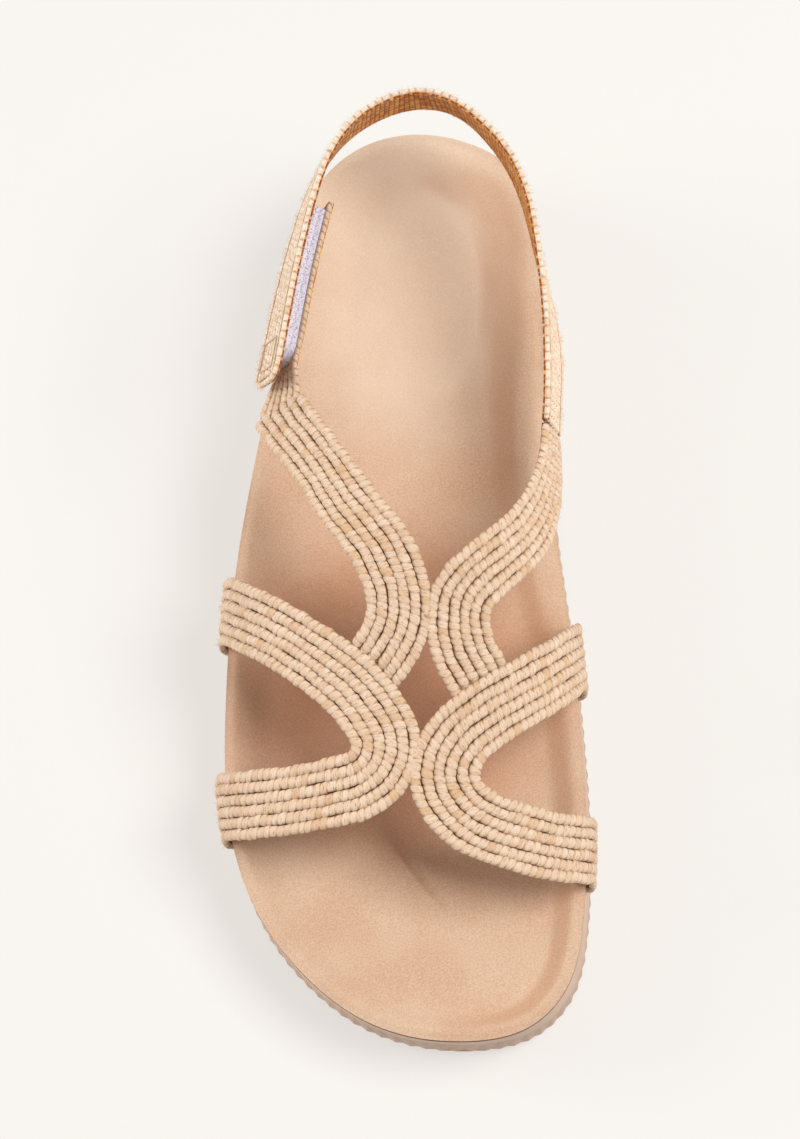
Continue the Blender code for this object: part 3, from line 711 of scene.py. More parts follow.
def make_cover():
    under = cover_top[:FOOTBED_POINTS] - [0, 0, COVER]
    faces = plan_faces + between(0, len(cover_top), FOOTBED_POINTS)
    made = mesh_piece("suede_cover", np.vstack([cover_top, under]), faces, suede_finish, "insole", 50)
    # the cut side is dark partly as raw suede and partly as painted shade of the groove below it
    made.data.materials.append(cut_edge_and_shade())
    for face in made.data.polygons[len(plan_faces) :]:
        face.material_index = 1
    normals = np.array([corner.vector[:] for corner in made.data.vertex_normals])
    tilt = 1 - np.abs(normals[:, 2])
    tilt[np.concatenate([depth < SLOPE_INSET, np.ones(FOOTBED_POINTS, bool)])] = 0
    # how steep each place is, weighted to slopes facing away from the key lamp: the suede paints shade by
    # it
    keep_values(made.data, "slope", 4 * tilt * np.clip(0.4 - 4 * normals[:, 0], 0.15, 1.6))
    return made


cover = make_cover()
print("suede cover:", len(cover.data.polygons), "faces")

# %% [markdown]
# ### The footbed's side and the outsole
#
# Below the cut edge shows the smooth side of the footbed, a taupe skin with a faint cast, then the
# toothed rim of the rubber outsole. The side is a wall between two outlines, so it stays as smooth as the
# cover. The outsole keeps its solid, teeth and tread grooves included, and only gets its material.

# %% Side wall and outsole
OUTSOLE_EDGE = 0.0065
WAIST_RISE = 0.0020
TOE_SPRING = 0.0045
HEEL_SPRING = 0.0010
SIDE_FLARE = 0.0008
TOE_RAKE = 0.0014
SIDE_WALL = 0.0030


def moulded(name, low, high, worn_tone, grain, roughness):
    """A moulded rubber or foam skin: two close tones, fine pores, lighter scuffs."""
    made, tree, shader = new_material(name, high, roughness, specular=0.35)
    fine, broad = speckled(tree, object_place(tree), grain, 90.0)
    skin = mixed(tree, ramp(tree, broad, 0.15, 0.85), low, high)
    tone = mixed(tree, ramp(tree, fine, 0.45, 0.75, 0.0, 0.35), skin, worn_tone)
    rough = ramp(tree, fine, 0.3, 0.7, roughness - 0.1, roughness + 0.12)
    feed(tree, shader.inputs["Roughness"], rough)
    coat(tree, shader, tone, fine, 0.00012, 0.5)
    return made


def seam_height(along):
    waist = WAIST_RISE * np.sin(math.pi * np.clip((along - 0.33) / 0.22, 0, 1)) ** 2
    toe = TOE_SPRING * np.clip((along - 0.80) / 0.20, 0, 1) ** 2
    heel = HEEL_SPRING * np.clip((0.05 - along) / 0.05, 0, 1) ** 2
    return OUTSOLE_EDGE + waist + toe + heel


def make_side():
    edge, outward = outline_ring(FOOTBED_POINTS)
    lean = SIDE_FLARE * np.clip(outward[:, :1], 0, 1) - TOE_RAKE * np.clip(-outward[:, 1:], 0, 1)
    top = rim_height(np.clip(0.5 - edge[:, 1] / SOLE_LENGTH, 0, 1)) - CREST_ROUND - COVER
    foot = seam_height(0.5 - edge[:, 1] / SOLE_LENGTH)
    rings = [np.column_stack([edge - outward * SIDE_WALL, top])]
    for share, inset in ((0.0, 0.0002), (0.06, 0.0), (0.35, 0.0), (0.68, 0.0), (1.0, 0.0)):
        flat = edge + outward * (lean * share - inset)
        rings.append(np.column_stack([flat, top + (foot - top) * share]))
    rings.append(np.column_stack([edge + outward * (lean - SIDE_WALL), foot]))
    faces = []
    for k in range(len(rings)):
        faces += between(k * FOOTBED_POINTS, (k + 1) % len(rings) * FOOTBED_POINTS, FOOTBED_POINTS)
    finish = moulded("footbed_skin", "#C4A893", "#CFB5A1", "#DAC5B4", 900.0, 0.62)
    return mesh_piece("footbed_side", np.vstack(rings), faces, finish, "midsole", 40)


side_wall = make_side()
outsole = bpy.data.objects["outsole"]
outsole.data.materials.clear()
rubber = moulded("outsole_rubber", "#BBA08C", "#C9AF9C", "#D8C4B4", 700.0, 0.7)
outsole.data.materials.append(rubber)
print("side wall:", len(side_wall.data.polygons), "faces; outsole:", len(outsole.data.polygons))

# %% [markdown]
# ## Where the bands run
#
# Four bands cross the instep. Each is charted on the last by its middle line: how far round, how far
# along, and at the outer ankle how far its end is cut aslant and rolled. The two front bands get feet
# over the rims; the two rear bands start at the straps and end at the front bands.

# %% Band charts
CORDS = 6
FRONT_WIDTH = 0.0176
REAR_WIDTH = 0.0164
FOOT_TUCK = 0.0050
OUTER_FRONT = (
    (3, 0.757), (20, 0.763), (38, 0.768), (56, 0.768), (69, 0.763), (78, 0.752), (82, 0.735),
    (83, 0.714), (80, 0.693), (75, 0.671), (66, 0.645), (52, 0.614), (36, 0.586), (20, 0.564),
    (3, 0.548),
)
INNER_FRONT = (
    (177, 0.803), (152, 0.810), (126, 0.807), (110, 0.792), (103, 0.771), (101, 0.748), (103, 0.725),
    (109, 0.702), (121, 0.675), (136, 0.648), (153, 0.621), (177, 0.597),
)
OUTER_REAR = (
    (30, 0.368, 36, -18), (44, 0.407, 14, -8), (57, 0.446), (68, 0.486), (79, 0.524), (85, 0.556),
    (87, 0.584), (86, 0.606), (82, 0.630), (77, 0.650), (73, 0.664),
)
INNER_REAR = (
    (154, 0.382), (151, 0.420), (144, 0.460), (134, 0.500), (123, 0.530), (114, 0.552), (108, 0.572),
    (106, 0.590), (106, 0.608), (108, 0.630), (113, 0.654), (117, 0.672),
)
charts = (OUTER_FRONT, INNER_FRONT, OUTER_REAR, INNER_REAR)
print("places charted:", [len(rows) for rows in charts])

# %% [markdown]
# ### Lines beside a band's middle
#
# A cord that lies beside the middle line has to keep its distance on the curved last, not on a flat
# drawing. So each step sideways is turned into degrees round and share along, with the last's two slopes
# at that place.

# %% Lines beside a band's middle
BAND_PLACES = 420


def foot_rows(row):
    """Rows of a front band's foot: down the footbed's wall under the rim, and in under it."""
    around, along = row
    sign, rim = (-1, 0) if around < 90 else (1, 180)
    bent = WALL_DROP + FOOT_BEND * FOOT_TURN
    lengths = (bent + FOOT_TUCK, bent, WALL_DROP - FOOT_BEND)
    return [(rim + sign * length / WALL_PER_DEGREE, along) for length in lengths]


def with_feet(rows):
    return foot_rows(rows[0]) + list(rows) + foot_rows(rows[-1])[::-1]


def dots(a, b):
    return (a * b).sum(-1, keepdims=True)


def turned(vectors, axes, angles):
    """Vectors turned about unit axes by angles in radians."""
    cos, sin = np.cos(angles), np.sin(angles)
    return vectors * cos + np.cross(axes, vectors) * sin + axes * dots(axes, vectors) * (1 - cos)


def band_lines(rows, offsets, height):
    """Lines over the last beside a band's middle line: points, each (places, lines, 3), and their ups."""
    rows = np.array([(*row, 0, 0)[:4] for row in rows], float)
    knots = run_length(last_point(rows[:, 0], rows[:, 1]))
    fine = np.linspace(0, knots[-1], BAND_PLACES)
    path = spline(knots, rows[:, :2], fine)
    skew, roll = [np.radians(np.interp(fine, knots, rows[:, k]))[:, None, None] for k in (2, 3)]
    centre = last_point(path[:, 0], path[:, 1])[:, None]
    tangent = unit(np.gradient(centre, axis=0))
    a, b, normal = [v[:, None] for v in last_frame(path[:, 0], path[:, 1])]
    across = unit(np.cross(normal, tangent))
    offsets = np.asarray(offsets, float)[None, :, None]
    out = across * offsets
    spread = dots(a, a) * dots(b, b) - dots(a, b) ** 2
    by_around = (dots(b, b) * dots(a, out) - dots(a, b) * dots(b, out)) / spread
    by_along = (dots(a, a) * dots(b, out) - dots(a, b) * dots(a, out)) / spread
    around = path[:, None, :1] + by_around
    along = path[:, None, 1:] + by_along
    surface = last_point(around[..., 0], along[..., 0])
    ups = last_frame(around[..., 0], along[..., 0])[2]
    points = surface + ups * height + tangent * offsets * np.tan(skew)
    points = turned(points - centre, tangent, roll) + centre
    return points, turned(ups, tangent, roll)


def cord_offsets(width):
    return (np.arange(CORDS) + 0.5) / CORDS * width - width / 2


outer_front_middle = band_lines(with_feet(OUTER_FRONT), [0], 0)[0][:, 0]
print("outer front band:", round(1000 * run_length(outer_front_middle)[-1]), "mm long")

# %% [markdown]
# ## Wrapped cord
#
# A raffia cord is a core wound round and round with flat raffia. Each turn of the wrap stands up like a
# small pillow, a sharp notch between it and the next, and no two are quite alike. A bump map would leave
# the cord's edge smooth, so the wraps are real shape. A Geometry Nodes tree makes them: it resamples the
# cord's line, sweeps a circle along it, and moves every point out by a rule of how far along and how far
# round it lies. Sizes are the tree's named inputs, and one tree serves every cord on the sandal.

# %% Steps that trees share
def stored(tree, geometry, name, value, kind="FLOAT"):
    inputs = {"Geometry": geometry, "Name": name, "Value": value}
    node = put(tree, "GeometryNodeStoreNamedAttribute", inputs, data_type=kind, domain="POINT")
    return node.outputs["Geometry"]


def named(tree, name, kind="FLOAT"):
    return put(tree, "GeometryNodeInputNamedAttribute", {"Name": name}, data_type=kind).outputs["Attribute"]


def random_value(tree, low, high, number, seed):
    node = put(tree, "FunctionNodeRandomValue", data_type="FLOAT")
    for key, value in (("Min", low), ("Max", high), ("ID", number), ("Seed", seed)):
        feed(tree, next(s for s in node.inputs if s.name == key and s.enabled), value)
    return next(s for s in node.outputs if s.enabled)


def scaled(tree, direction, factor):
    inputs = {0: direction, "Scale": factor}
    return put(tree, "ShaderNodeVectorMath", inputs, operation="SCALE").outputs[0]


def swept(tree, line, ring):
    inputs = {"Curve": line, "Profile Curve": ring, "Fill Caps": True}
    return put(tree, "GeometryNodeCurveToMesh", inputs).outputs[0]


def close_tree(tree, geometry, finish):
    """The end of a tree: instances made real, and the finish set."""
    real = put(tree, "GeometryNodeRealizeInstances", {"Geometry": geometry}).outputs[0]
    done = put(tree, "GeometryNodeSetMaterial", {"Geometry": real, "Material": finish}).outputs[0]
    put(tree, "NodeGroupOutput", {"Geometry": done})
    return tree


print("shared steps:", [step.__name__ for step in (stored, named, random_value, swept, close_tree)])

# %% Cord tree
CORD_INPUTS = {
    "Geometry": "Geometry", "Step": "Float", "Wrap": "Float", "Width": "Float", "Height": "Float",
    "Notch": "Float", "Slant": "Float", "Wander": "Float", "Around": "Int", "Seed": "Int",
    "Finish": "Material",
}


def cord_tree():
    tree = new_tree("wrapped_cord", "GeometryNodeTree", CORD_INPUTS, {"Geometry": "Geometry"})
    entry = put(tree, "NodeGroupInput").outputs
    along = put(tree, "GeometryNodeSplineParameter").outputs
    whole = put(tree, "GeometryNodeSplineLength").outputs["Length"]
    line = put(tree, "GeometryNodeMeshToCurve", {"Mesh": entry["Geometry"]}).outputs[0]
    line = put(tree, "GeometryNodeResampleCurve", {"Curve": line, "Length": entry["Step"]}, mode="LENGTH")
    line = stored(tree, line.outputs[0], "run", along["Length"])
    line = stored(tree, line, "whole", whole)
    line = stored(tree, line, "centre", put(tree, "GeometryNodeInputPosition").outputs[0], "FLOAT_VECTOR")
    ring = put(tree, "GeometryNodeCurvePrimitiveCircle", {"Resolution": entry["Around"]}).outputs[0]
    tube = swept(tree, line, stored(tree, ring, "turn", along["Factor"]))

    run, whole, cord, turn = numbers(tree, [named(tree, name) for name in ("run", "whole", "cord", "turn")])
    width, height = numbers(tree, (entry["Width"], entry["Height"]))
    seat = vector(tree, X=run * 260.0, Y=cord * 7.3)
    wraps = run / entry["Wrap"] + noise(tree, seat, 1.0, 1.0) + turn * entry["Slant"]
    bulge = (wraps * math.pi).math("SINE").math("ABSOLUTE") ** 0.6
    angle = turn * (2 * math.pi)
    flank = angle.math("COSINE").math("ABSOLUTE") * 0.6 + 0.4
    number = wraps.math("FLOOR") + cord * 997.0
    tone = random_value(tree, 0.0, 1.0, number, entry["Seed"])
    plump = random_value(tree, -0.13, 0.09, number + 31.0, entry["Seed"])
    dip = (1.0 - bulge) * flank
    ends = (run.math("MINIMUM", whole - run) / (height * 0.55)).math("MINIMUM", 1.0)
    ends = (1.0 - (1.0 - ends) ** 2.0).math("MAXIMUM", 0.0).math("SQRT").math("MAXIMUM", 0.02)
    size = (1.0 - dip * entry["Notch"] + bulge * plump) * ends
    wander = (noise(tree, seat, 0.7, 0.0) - 0.5) * entry["Wander"]
    sideways = angle.math("COSINE") * (width * 0.5) * size + wander
    upwards = angle.math("SINE") * (height * 0.5) * size

    side, up, place = [named(tree, name, "FLOAT_VECTOR") for name in ("side", "up", "centre")]
    for push in (scaled(tree, side, sideways), scaled(tree, up, upwards)):
        place = put(tree, "ShaderNodeVectorMath", {0: place, 1: push}, operation="ADD").outputs[0]
    tube = put(tree, "GeometryNodeSetPosition", {"Geometry": tube, "Position": place}).outputs[0]
    tube = stored(tree, tube, "tone", tone)
    tube = stored(tree, tube, "dip", dip)
    tube = stored(tree, tube, "fibre", vector(tree, X=wraps, Y=turn, Z=cord), "FLOAT_VECTOR")
    tube = put(tree, "GeometryNodeSetShadeSmooth", {"Geometry": tube, "Shade Smooth": True}).outputs[0]
    return close_tree(tree, tube, entry["Finish"])


cord_nodes = cord_tree()
print("cord tree:", len(cord_nodes.nodes), "nodes")

# %% [markdown]
# ### Raffia
#
# Raffia is palm leaf split into ribbons: pale cream with peach and straw tones that change from wrap to
# wrap, a slight gloss, and fine fibres along the ribbon, which lie across the cord. The notches between
# wraps are painted darker as shade. All of it follows the attributes that the cord tree leaves on the mesh.

# %% Raffia finish
RIBBON_BLUSH = "#DFC3AE"


def raffia(name, pale, warm, straw, notch):
    made, tree, shader = new_material(name, pale, 0.80, sheen=0.1, specular=0.18)
    tone = attribute(tree, "tone")
    inputs = {"Vector": attribute(tree, "fibre", "Vector"), "Scale": (9.0, 4.0, 3.7)}
    fine, broad = speckled(tree, put(tree, "ShaderNodeMapping", inputs).outputs[0], 1.3, 0.35)
    ribbon = mixed(tree, tone, pale, warm)
    for value, low, high, share, stain in (
        (tone, 0.86, 0.98, 0.60, straw), (broad, 0.40, 0.65, 0.50, RIBBON_BLUSH),
        (fine, 0.42, 0.66, 0.60, straw), (fine, 0.58, 0.72, 0.70, notch),
        # painted shade in the notches between wraps
        (attribute(tree, "dip"), 0.18, 0.82, 0.88, notch),
    ):
        ribbon = mixed(tree, ramp(tree, value, low, high, 0.0, share), ribbon, stain)
    coat(tree, shader, ribbon, fine, 0.00022, 0.8)
    return made


cord_finish = raffia("raffia_cord", "#E6D1BC", "#DABFA4", "#D0AA80", "#92683F")
print("made", cord_finish.name)

# %% [markdown]
# ### From lines to cords
#
# The tree needs a line to sweep along, and at each of its points the way up and the way sideways, or a
# cord would twist where the band bends. Numpy works these out and a mesh of loose edges carries them as
# attributes. `grown` then runs a tree once over such a mesh and keeps the result as a plain one.

# %% Cords from lines
def line_mesh(name, lines):
    """One mesh of open lines, each a pair of point and up arrays, with what the cord tree reads."""
    kept = {"side": [], "up": [], "cord": []}
    edges = []
    start = 0
    for number, (line, up) in enumerate(lines):
        along = unit(np.gradient(line, axis=0))
        side = unit(np.cross(up, along))
        kept["side"].append(side)
        kept["up"].append(np.cross(along, side))
        kept["cord"].append(np.full(len(line), float(number)))
        edges += [(start + i, start + i + 1) for i in range(len(line) - 1)]
        start += len(line)
    mesh = new_mesh(name, np.vstack([line for line, _ in lines]), edges, [])
    for key, values in kept.items():
        keep_values(mesh, key, np.concatenate(values))
    return mesh


def grown(name, mesh, tree, values, node):
    """A plain mesh from a Geometry Nodes tree run once over a mesh."""
    base = bpy.data.objects.new(name + "_lines", mesh)
    scene.collection.objects.link(base)
    modifier = base.modifiers.new(tree.name, "NODES")
    modifier.node_group = tree
    inputs = {item.name: item.identifier for item in tree.interface.items_tree if item.in_out == "INPUT"}
    for key, value in values.items():
        modifier[inputs[key]] = value
    evaluated = base.evaluated_get(bpy.context.evaluated_depsgraph_get())
    made = bpy.data.objects.new(name, bpy.data.meshes.new_from_object(evaluated))
    made.data.name = name
    bpy.data.objects.remove(base)
    print(name + ":", sum(len(face.vertices) - 2 for face in made.data.polygons), "triangles")
    return settle(made, node)


CORD_SIZES = {
    "Step": 0.00024, "Wrap": 0.0020, "Notch": 0.14, "Slant": 1.0, "Wander": 0.0008, "Around": 14,
}


def cords(name, lines, width, height, finish, node, seed, **changes):
    values = CORD_SIZES | {"Width": width, "Height": height, "Seed": seed, "Finish": finish} | changes
    return grown(name, line_mesh(name, lines), cord_nodes, values, node)


# %% [markdown]
# ## The front bands
#
# Six cords lie side by side over a thin golden backing. The backing is a real strip of its own, seen
# between the cords and from inside, and each cord's line is read off the last at its own distance from
# the band's middle.

# %% Front bands
CORD_HEIGHT = 0.0021
CORD_CENTRE = 0.0013
CORD_OVERLAP = 1.05


def band_cords(rows, width):
    points, ups = band_lines(rows, cord_offsets(width), CORD_CENTRE)
    return [(points[:, k], ups[:, k]) for k in range(CORDS)]


def corded_band(name, lines, width, seed):
    size = CORD_OVERLAP * width / CORDS
    return cords(name + "_cords", lines, size, CORD_HEIGHT, cord_finish, "upper", seed)


outer_front_lines = band_cords(with_feet(OUTER_FRONT), FRONT_WIDTH)
inner_front_lines = band_cords(with_feet(INNER_FRONT), FRONT_WIDTH)
outer_front = corded_band("outer_front", outer_front_lines, FRONT_WIDTH, 3)
inner_front = corded_band("inner_front", inner_front_lines, FRONT_WIDTH, 5)

# %% [markdown]
# ## The rear bands
#
# The two rear bands come from the straps at the ankle, meet over the instep and part again. Their cords
# do not cross the front bands: each stops at a front band's edge and dips under it, where it is sewn
# down. So every line is cut where it comes near the front band's middle line, and its last stretch is
# lowered.

# %% Rear bands
TOUCH = 0.0071
DIVE = 0.0016
DIVE_RUN = 0.0045


def ended(lines, front_rows):
    """Cords cut where they reach a front band, their last stretch dipping towards its edge."""
    middle = band_lines(front_rows, [0], CORD_CENTRE)[0][:, 0]
    cut = []
    for line, up in lines:
        gap = np.linalg.norm(line[:, None] - middle[None], axis=2).min(axis=1)
        last = int(np.argmax(gap < TOUCH)) if (gap < TOUCH).any() else len(line)
        line, up = line[:last], up[:last]
        left = run_length(line)[-1] - run_length(line)
        cut.append((line - up * DIVE * (1 - ease(left / DIVE_RUN))[:, None], up))
    return cut


outer_rear_lines = ended(band_cords(OUTER_REAR, REAR_WIDTH), OUTER_FRONT)
inner_rear_lines = ended(band_cords(INNER_REAR, REAR_WIDTH), INNER_FRONT)
outer_rear = corded_band("outer_rear", outer_rear_lines, REAR_WIDTH, 7)
inner_rear = corded_band("inner_rear", inner_rear_lines, REAR_WIDTH, 9)

# %% [markdown]
# ## Woven linings
#
# A plain weave takes each strand over one crossing and under the next. As a texture it needs only a
# chequer: on even cells the strand runs along, on odd ones across, and each is rounded like a pillow. The
# group works in cells, so every lining stores its own run and width in cells on its mesh.

# %% Shared effect: plain weave
def weave_group():
    outputs = {"Height": "Float", "Tone": "Float"}
    tree = new_tree("plain_weave", "ShaderNodeTree", {"Vector": "Vector"}, outputs)
    entry = put(tree, "NodeGroupInput").outputs["Vector"]
    cell = numbers(tree, put(tree, "ShaderNodeSeparateXYZ", {"Vector": entry}).outputs[:2])
    steps = [part.math("FLOOR") for part in cell]
    parity = (steps[0] + steps[1]).math("FLOORED_MODULO", 2.0)
    waves = [(part.math("FRACT") * math.pi).math("SINE") for part in cell]
    narrow = [wave**0.55 for wave in waves]
    gentle = [wave * 0.35 + 0.65 for wave in waves]
    odd = narrow[0] * gentle[1] * parity
    even = narrow[1] * gentle[0] * (1.0 - parity)
    spot = vector(tree, X=steps[0], Y=steps[1])
    tone = put(tree, "ShaderNodeTexWhiteNoise", {"Vector": spot}, noise_dimensions="3D").outputs["Value"]
    put(tree, "NodeGroupOutput", {"Height": odd + even, "Tone": tone})
    return tree


plain_weave = weave_group()


def woven(name, low, high, gap):
    made, tree, shader = new_material(name, high, 0.75, sheen=0.1, specular=0.25)
    place = attribute(tree, "cells", "Vector")
    height, tone = put(tree, "ShaderNodeGroup", {"Vector": place}, node_tree=plain_weave).outputs
    fine, _ = speckled(tree, place, 5.0, 0.15)
    strand = mixed(tree, tone, low, high)
    strand = mixed(tree, ramp(tree, fine, 0.4, 0.7, 0.0, 0.45), strand, gap)
    strand = mixed(tree, ramp(tree, height, 0.30, 0.70, 1.0, 0.0), strand, gap)
    coat(tree, shader, strand, height, 0.0005, 0.8)
    return made


def sheet(name, grid, wall, ups, finish, node, cell, under=None):
    """A closed sheet over a grid of points, with its run and width stored in weave cells.

    The second finish, if given, goes on its under side.
    """
    rows, columns = grid.shape[:2]
    points = np.concatenate([grid.reshape(-1, 3), (grid + ups * wall).reshape(-1, 3)])
    index = np.arange(2 * rows * columns).reshape(2, rows, columns)
    quads = np.stack([index[:, :-1, :-1], index[:, 1:, :-1], index[:, 1:, 1:], index[:, :-1, 1:]], -1)
    faces = quads[1].reshape(-1, 4).tolist() + quads[0].reshape(-1, 4)[:, ::-1].tolist()
    loops = [np.concatenate([v[:, 0], v[-1, 1:], v[-2::-1, -1], v[0, -2:0:-1]]) for v in index]
    turns = [np.roll(loop, -1) for loop in loops]
    faces += np.stack([loops[0], turns[0], turns[1], loops[1]], 1).tolist()
    made = mesh_piece(name, points, faces, finish, node, 50)
    if under:
        made.data.materials.append(under)
        per_side = (rows - 1) * (columns - 1)
        for face in made.data.polygons[per_side : 2 * per_side]:
            face.material_index = 1
    run = run_length(grid[:, columns // 2])[:, None] + np.zeros(columns)
    width = run_length(grid[rows // 2]) + np.zeros((rows, 1))
    cells = np.stack([run / cell, width / cell, np.zeros_like(run)], -1).reshape(-1, 3)
    keep_values(made.data, "cells", np.concatenate([cells, cells]))
    return made


golden_weave = woven("golden_lining", "#C98F45", "#E0B05F", "#8A5A2A")
# the backings' top side is dark brown as painted shade between the cords
backing_shade_finish = woven("cord_backing_shade", "#7C5736", "#936A44", "#573A20")
strap_lining_finish = woven("strap_lining", "#C46A16", "#F8C06A", "#8A440A")
print("weaves:", golden_weave.name, backing_shade_finish.name, strap_lining_finish.name)

# %% [markdown]
# ### Band backings
#
# Under the cords lies a thin woven strip that holds them side by side. Its top side is painted dark as the
# shade between two cords, and its side that touches the foot is golden, so it is one closed sheet with a
# material for each side. It stays a little narrower than its band, and so the outermost cords hide its
# edges.

# %% Band backings
BACKING = 0.0009
BACKING_SHARE = 0.45
BACKING_CELL = 0.0016
REAR_STOP = -40
BACKINGS = (
    ("outer_front", with_feet(OUTER_FRONT), FRONT_WIDTH, 0.0, None),
    ("inner_front", with_feet(INNER_FRONT), FRONT_WIDTH, 0.0001, None),
    ("outer_rear", OUTER_REAR, REAR_WIDTH, 0.0002, REAR_STOP),
    ("inner_rear", INNER_REAR, REAR_WIDTH, 0.0003, REAR_STOP),
)

for band, rows, width, layer, stop in BACKINGS:
    grid, ups = band_lines(rows, np.linspace(-BACKING_SHARE, BACKING_SHARE, 15) * width, layer)
    grid, ups = grid[:stop:3], ups[:stop:3]
    sheet(band + "_backing", grid, BACKING, ups, backing_shade_finish, "upper", BACKING_CELL, golden_weave)
    print(band + "_backing:", round(1000 * run_length(grid[:, 7])[-1]), "mm long")

# %% [markdown]
# ## The heel strap and its closure
#
# From the inner rear band a woven strap runs round behind the heel and comes back along the outer ankle,
# where it closes on a short inner tab with hook-and-loop tape. Its height is charted at each place along
# the foot, together with how far it leans in. Outside it is made of fine wrapped columns between two
# beaded edges, inside it is a plain golden-brown weave; the same cord tree makes the columns and the
# beads.

# %% Strap paths
CLEARANCE = 0.0003
STRAP_WIDTH = 0.0180
STRAP_HEIGHT = 0.0690
EDGE_WIDTH = 0.0024
TAB_LENGTH = 0.0520
TAB_WIDTH = 0.0160
TAB_WALL = 0.0018
PAD_WIDTH = 0.0140
PAD_WALL = 0.0012
PAD_MARGIN = 0.0030
HEM_INSET = 0.0022
HEM_END = 0.0010
JOINT_RUN = 0.0105
HEEL_STRAP = (
    (0.325, 0.800, 0.885, 12), (0.265, 0.780, 0.900, 9), (0.200, 0.718, 0.930, 2),
    (0.140, 0.650, 0.955, 0), (0.096, 0.555, 0.975, 3), (0.062, 0.420, 0.990, 8),
    (0.034, 0.235, 1.000, 12), (0.027, 0.060, 1.000, 12), (0.036, -0.115, 1.000, 12),
    (0.064, -0.320, 0.995, 13), (0.110, -0.465, 0.985, 16), (0.170, -0.560, 0.970, 19),
    (0.223, -0.622, 0.957, 21), (0.287, -0.682, 0.942, 23), (0.345, -0.735, 0.925, 25),
)


def band_end(rows):
    """(point, line, normal) of a rear band's rear end, the line running across it."""
    points = band_lines(rows, [-REAR_WIDTH / 2, 0, REAR_WIDTH / 2], 0)[0]
    line = unit(points[0, 2] - points[0, 0])
    normal = unit(np.cross(points[0, 1] - points[2, 1], line))
    normal = normal * np.sign(normal[2])
    way = np.cross(line, normal)
    way = way * np.sign(way @ (points[0, 1] - points[2, 1]))
    return points[0, 1] + way * 2 * CLEARANCE, line, normal


def ribbon(points, normals, joint, joined=0):
    """Fine line through points: (run, curve, normals, acrosses), one end turned to fit a band's end."""
    knots = run_length(np.array(points))
    run = np.linspace(0, knots[-1], 601)
    curve = spline(knots, points, run)
    way = unit(np.gradient(curve, axis=0))
    normals = spline(knots, normals, run)
    normals = unit(normals - way * dots(normals, way))
    across = np.cross(normals, way)
    if joint:
        _, line, normal = joint
        place = run if joined == 0 else run[-1] - run
        share = np.clip(1 - place / JOINT_RUN, 0, 1)[:, None]
        end = 0 if joined == 0 else -1
        across = unit(across * (1 - share) + line * np.sign(line @ across[end]) * share)
        normals = unit(normals * (1 - share) + normal * np.sign(normal @ normals[end]) * share)
    return run, curve, normals, across


def strap_path():
    """The heel strap's inner face, from the inner rear band's end round the heel to the outer ankle."""
    joint = band_end(INNER_REAR)
    rows = np.array(HEEL_STRAP)
    points = np.column_stack(
        [rows[:, 1] * BALL_WIDTH / 2, (0.5 - rows[:, 0]) * SOLE_LENGTH, rows[:, 2] * STRAP_HEIGHT]
    )
    ways = unit(np.gradient(points, axis=0))
    level = unit(np.column_stack([ways[:, 1], -ways[:, 0], np.zeros(len(rows))]))
    lean = np.radians(rows[:, 3:])
    normals = level * np.cos(lean) + np.array([0, 0, 1]) * np.sin(lean)
    return ribbon(np.vstack([joint[0], points]), np.vstack([joint[2], normals]), joint)


def inner_path(depth, start, end, joint=None):
    """A path inside the heel strap's free end, at a depth under it, and on to a band's end if given."""
    run, curve, normals, _ = strap
    places = np.linspace(start, end, 6)
    normal = unit(read_at(places, run, normals))
    points = read_at(places, run, curve) - normal * depth
    if joint:
        points = np.vstack([points, joint[0]])
        normal = np.vstack([normal, joint[2]])
    return ribbon(points, normal, joint, -1)


def strap_points(path, places, offsets, height):
    """Points of a strap at runs and offsets, a height over its inner face, and their ups."""
    run, *tracks = path
    centre, up, out = [read_at(places, run, track) for track in tracks]
    return centre + unit(out) * np.reshape(offsets, (-1, 1)) + unit(up) * height, unit(up)


def strap_line(path, offset, height, end=None):
    """A line along a strap at an offset from its middle, and its ups."""
    places = np.linspace(0, path[0][-1] if end is None else end, 400)
    return strap_points(path, places, np.full(400, offset), height)


def hem_line(path, half, radius, height):
    """A line up one edge of a strap, round its free end and back down the other edge."""
    end = path[0][-1] - HEM_END
    turn = np.linspace(0, math.pi / 2, 24)
    there = np.linspace(0, end - radius, 600)
    runs = np.concatenate([there, end - radius + radius * np.sin(turn)])
    sides = np.concatenate([np.full(600, half), half - radius + radius * np.cos(turn)])
    runs = np.concatenate([runs, runs[::-1]])
    sides = np.concatenate([sides, -sides[::-1]])
    return strap_points(path, runs, sides, height)


def column_end(path, offset, half, radius):
    """Where a column stops so that it stays inside the rounded hem."""
    past = max(0.0, abs(offset) - (half - radius))
    return path[0][-1] - HEM_INSET - radius + math.sqrt(radius**2 - past**2)


strap = strap_path()
strap_end = strap[0][-1]
tab_depth = 3 * CLEARANCE + 2 * PAD_WALL + TAB_WALL
tab = inner_path(tab_depth, strap_end - TAB_LENGTH, strap_end - PAD_MARGIN, band_end(OUTER_REAR))
print("heel strap:", round(1000 * strap_end), "mm; tab:", round(1000 * tab[0][-1]), "mm")

# %% [markdown]
# ### The heel strap
#
# Five flat wrapped columns lie side by side between two beaded edges, over a golden lining. The edge is
# one cord that runs up one side, round the free end and back, and each column stops short enough to stay
# inside that round end.

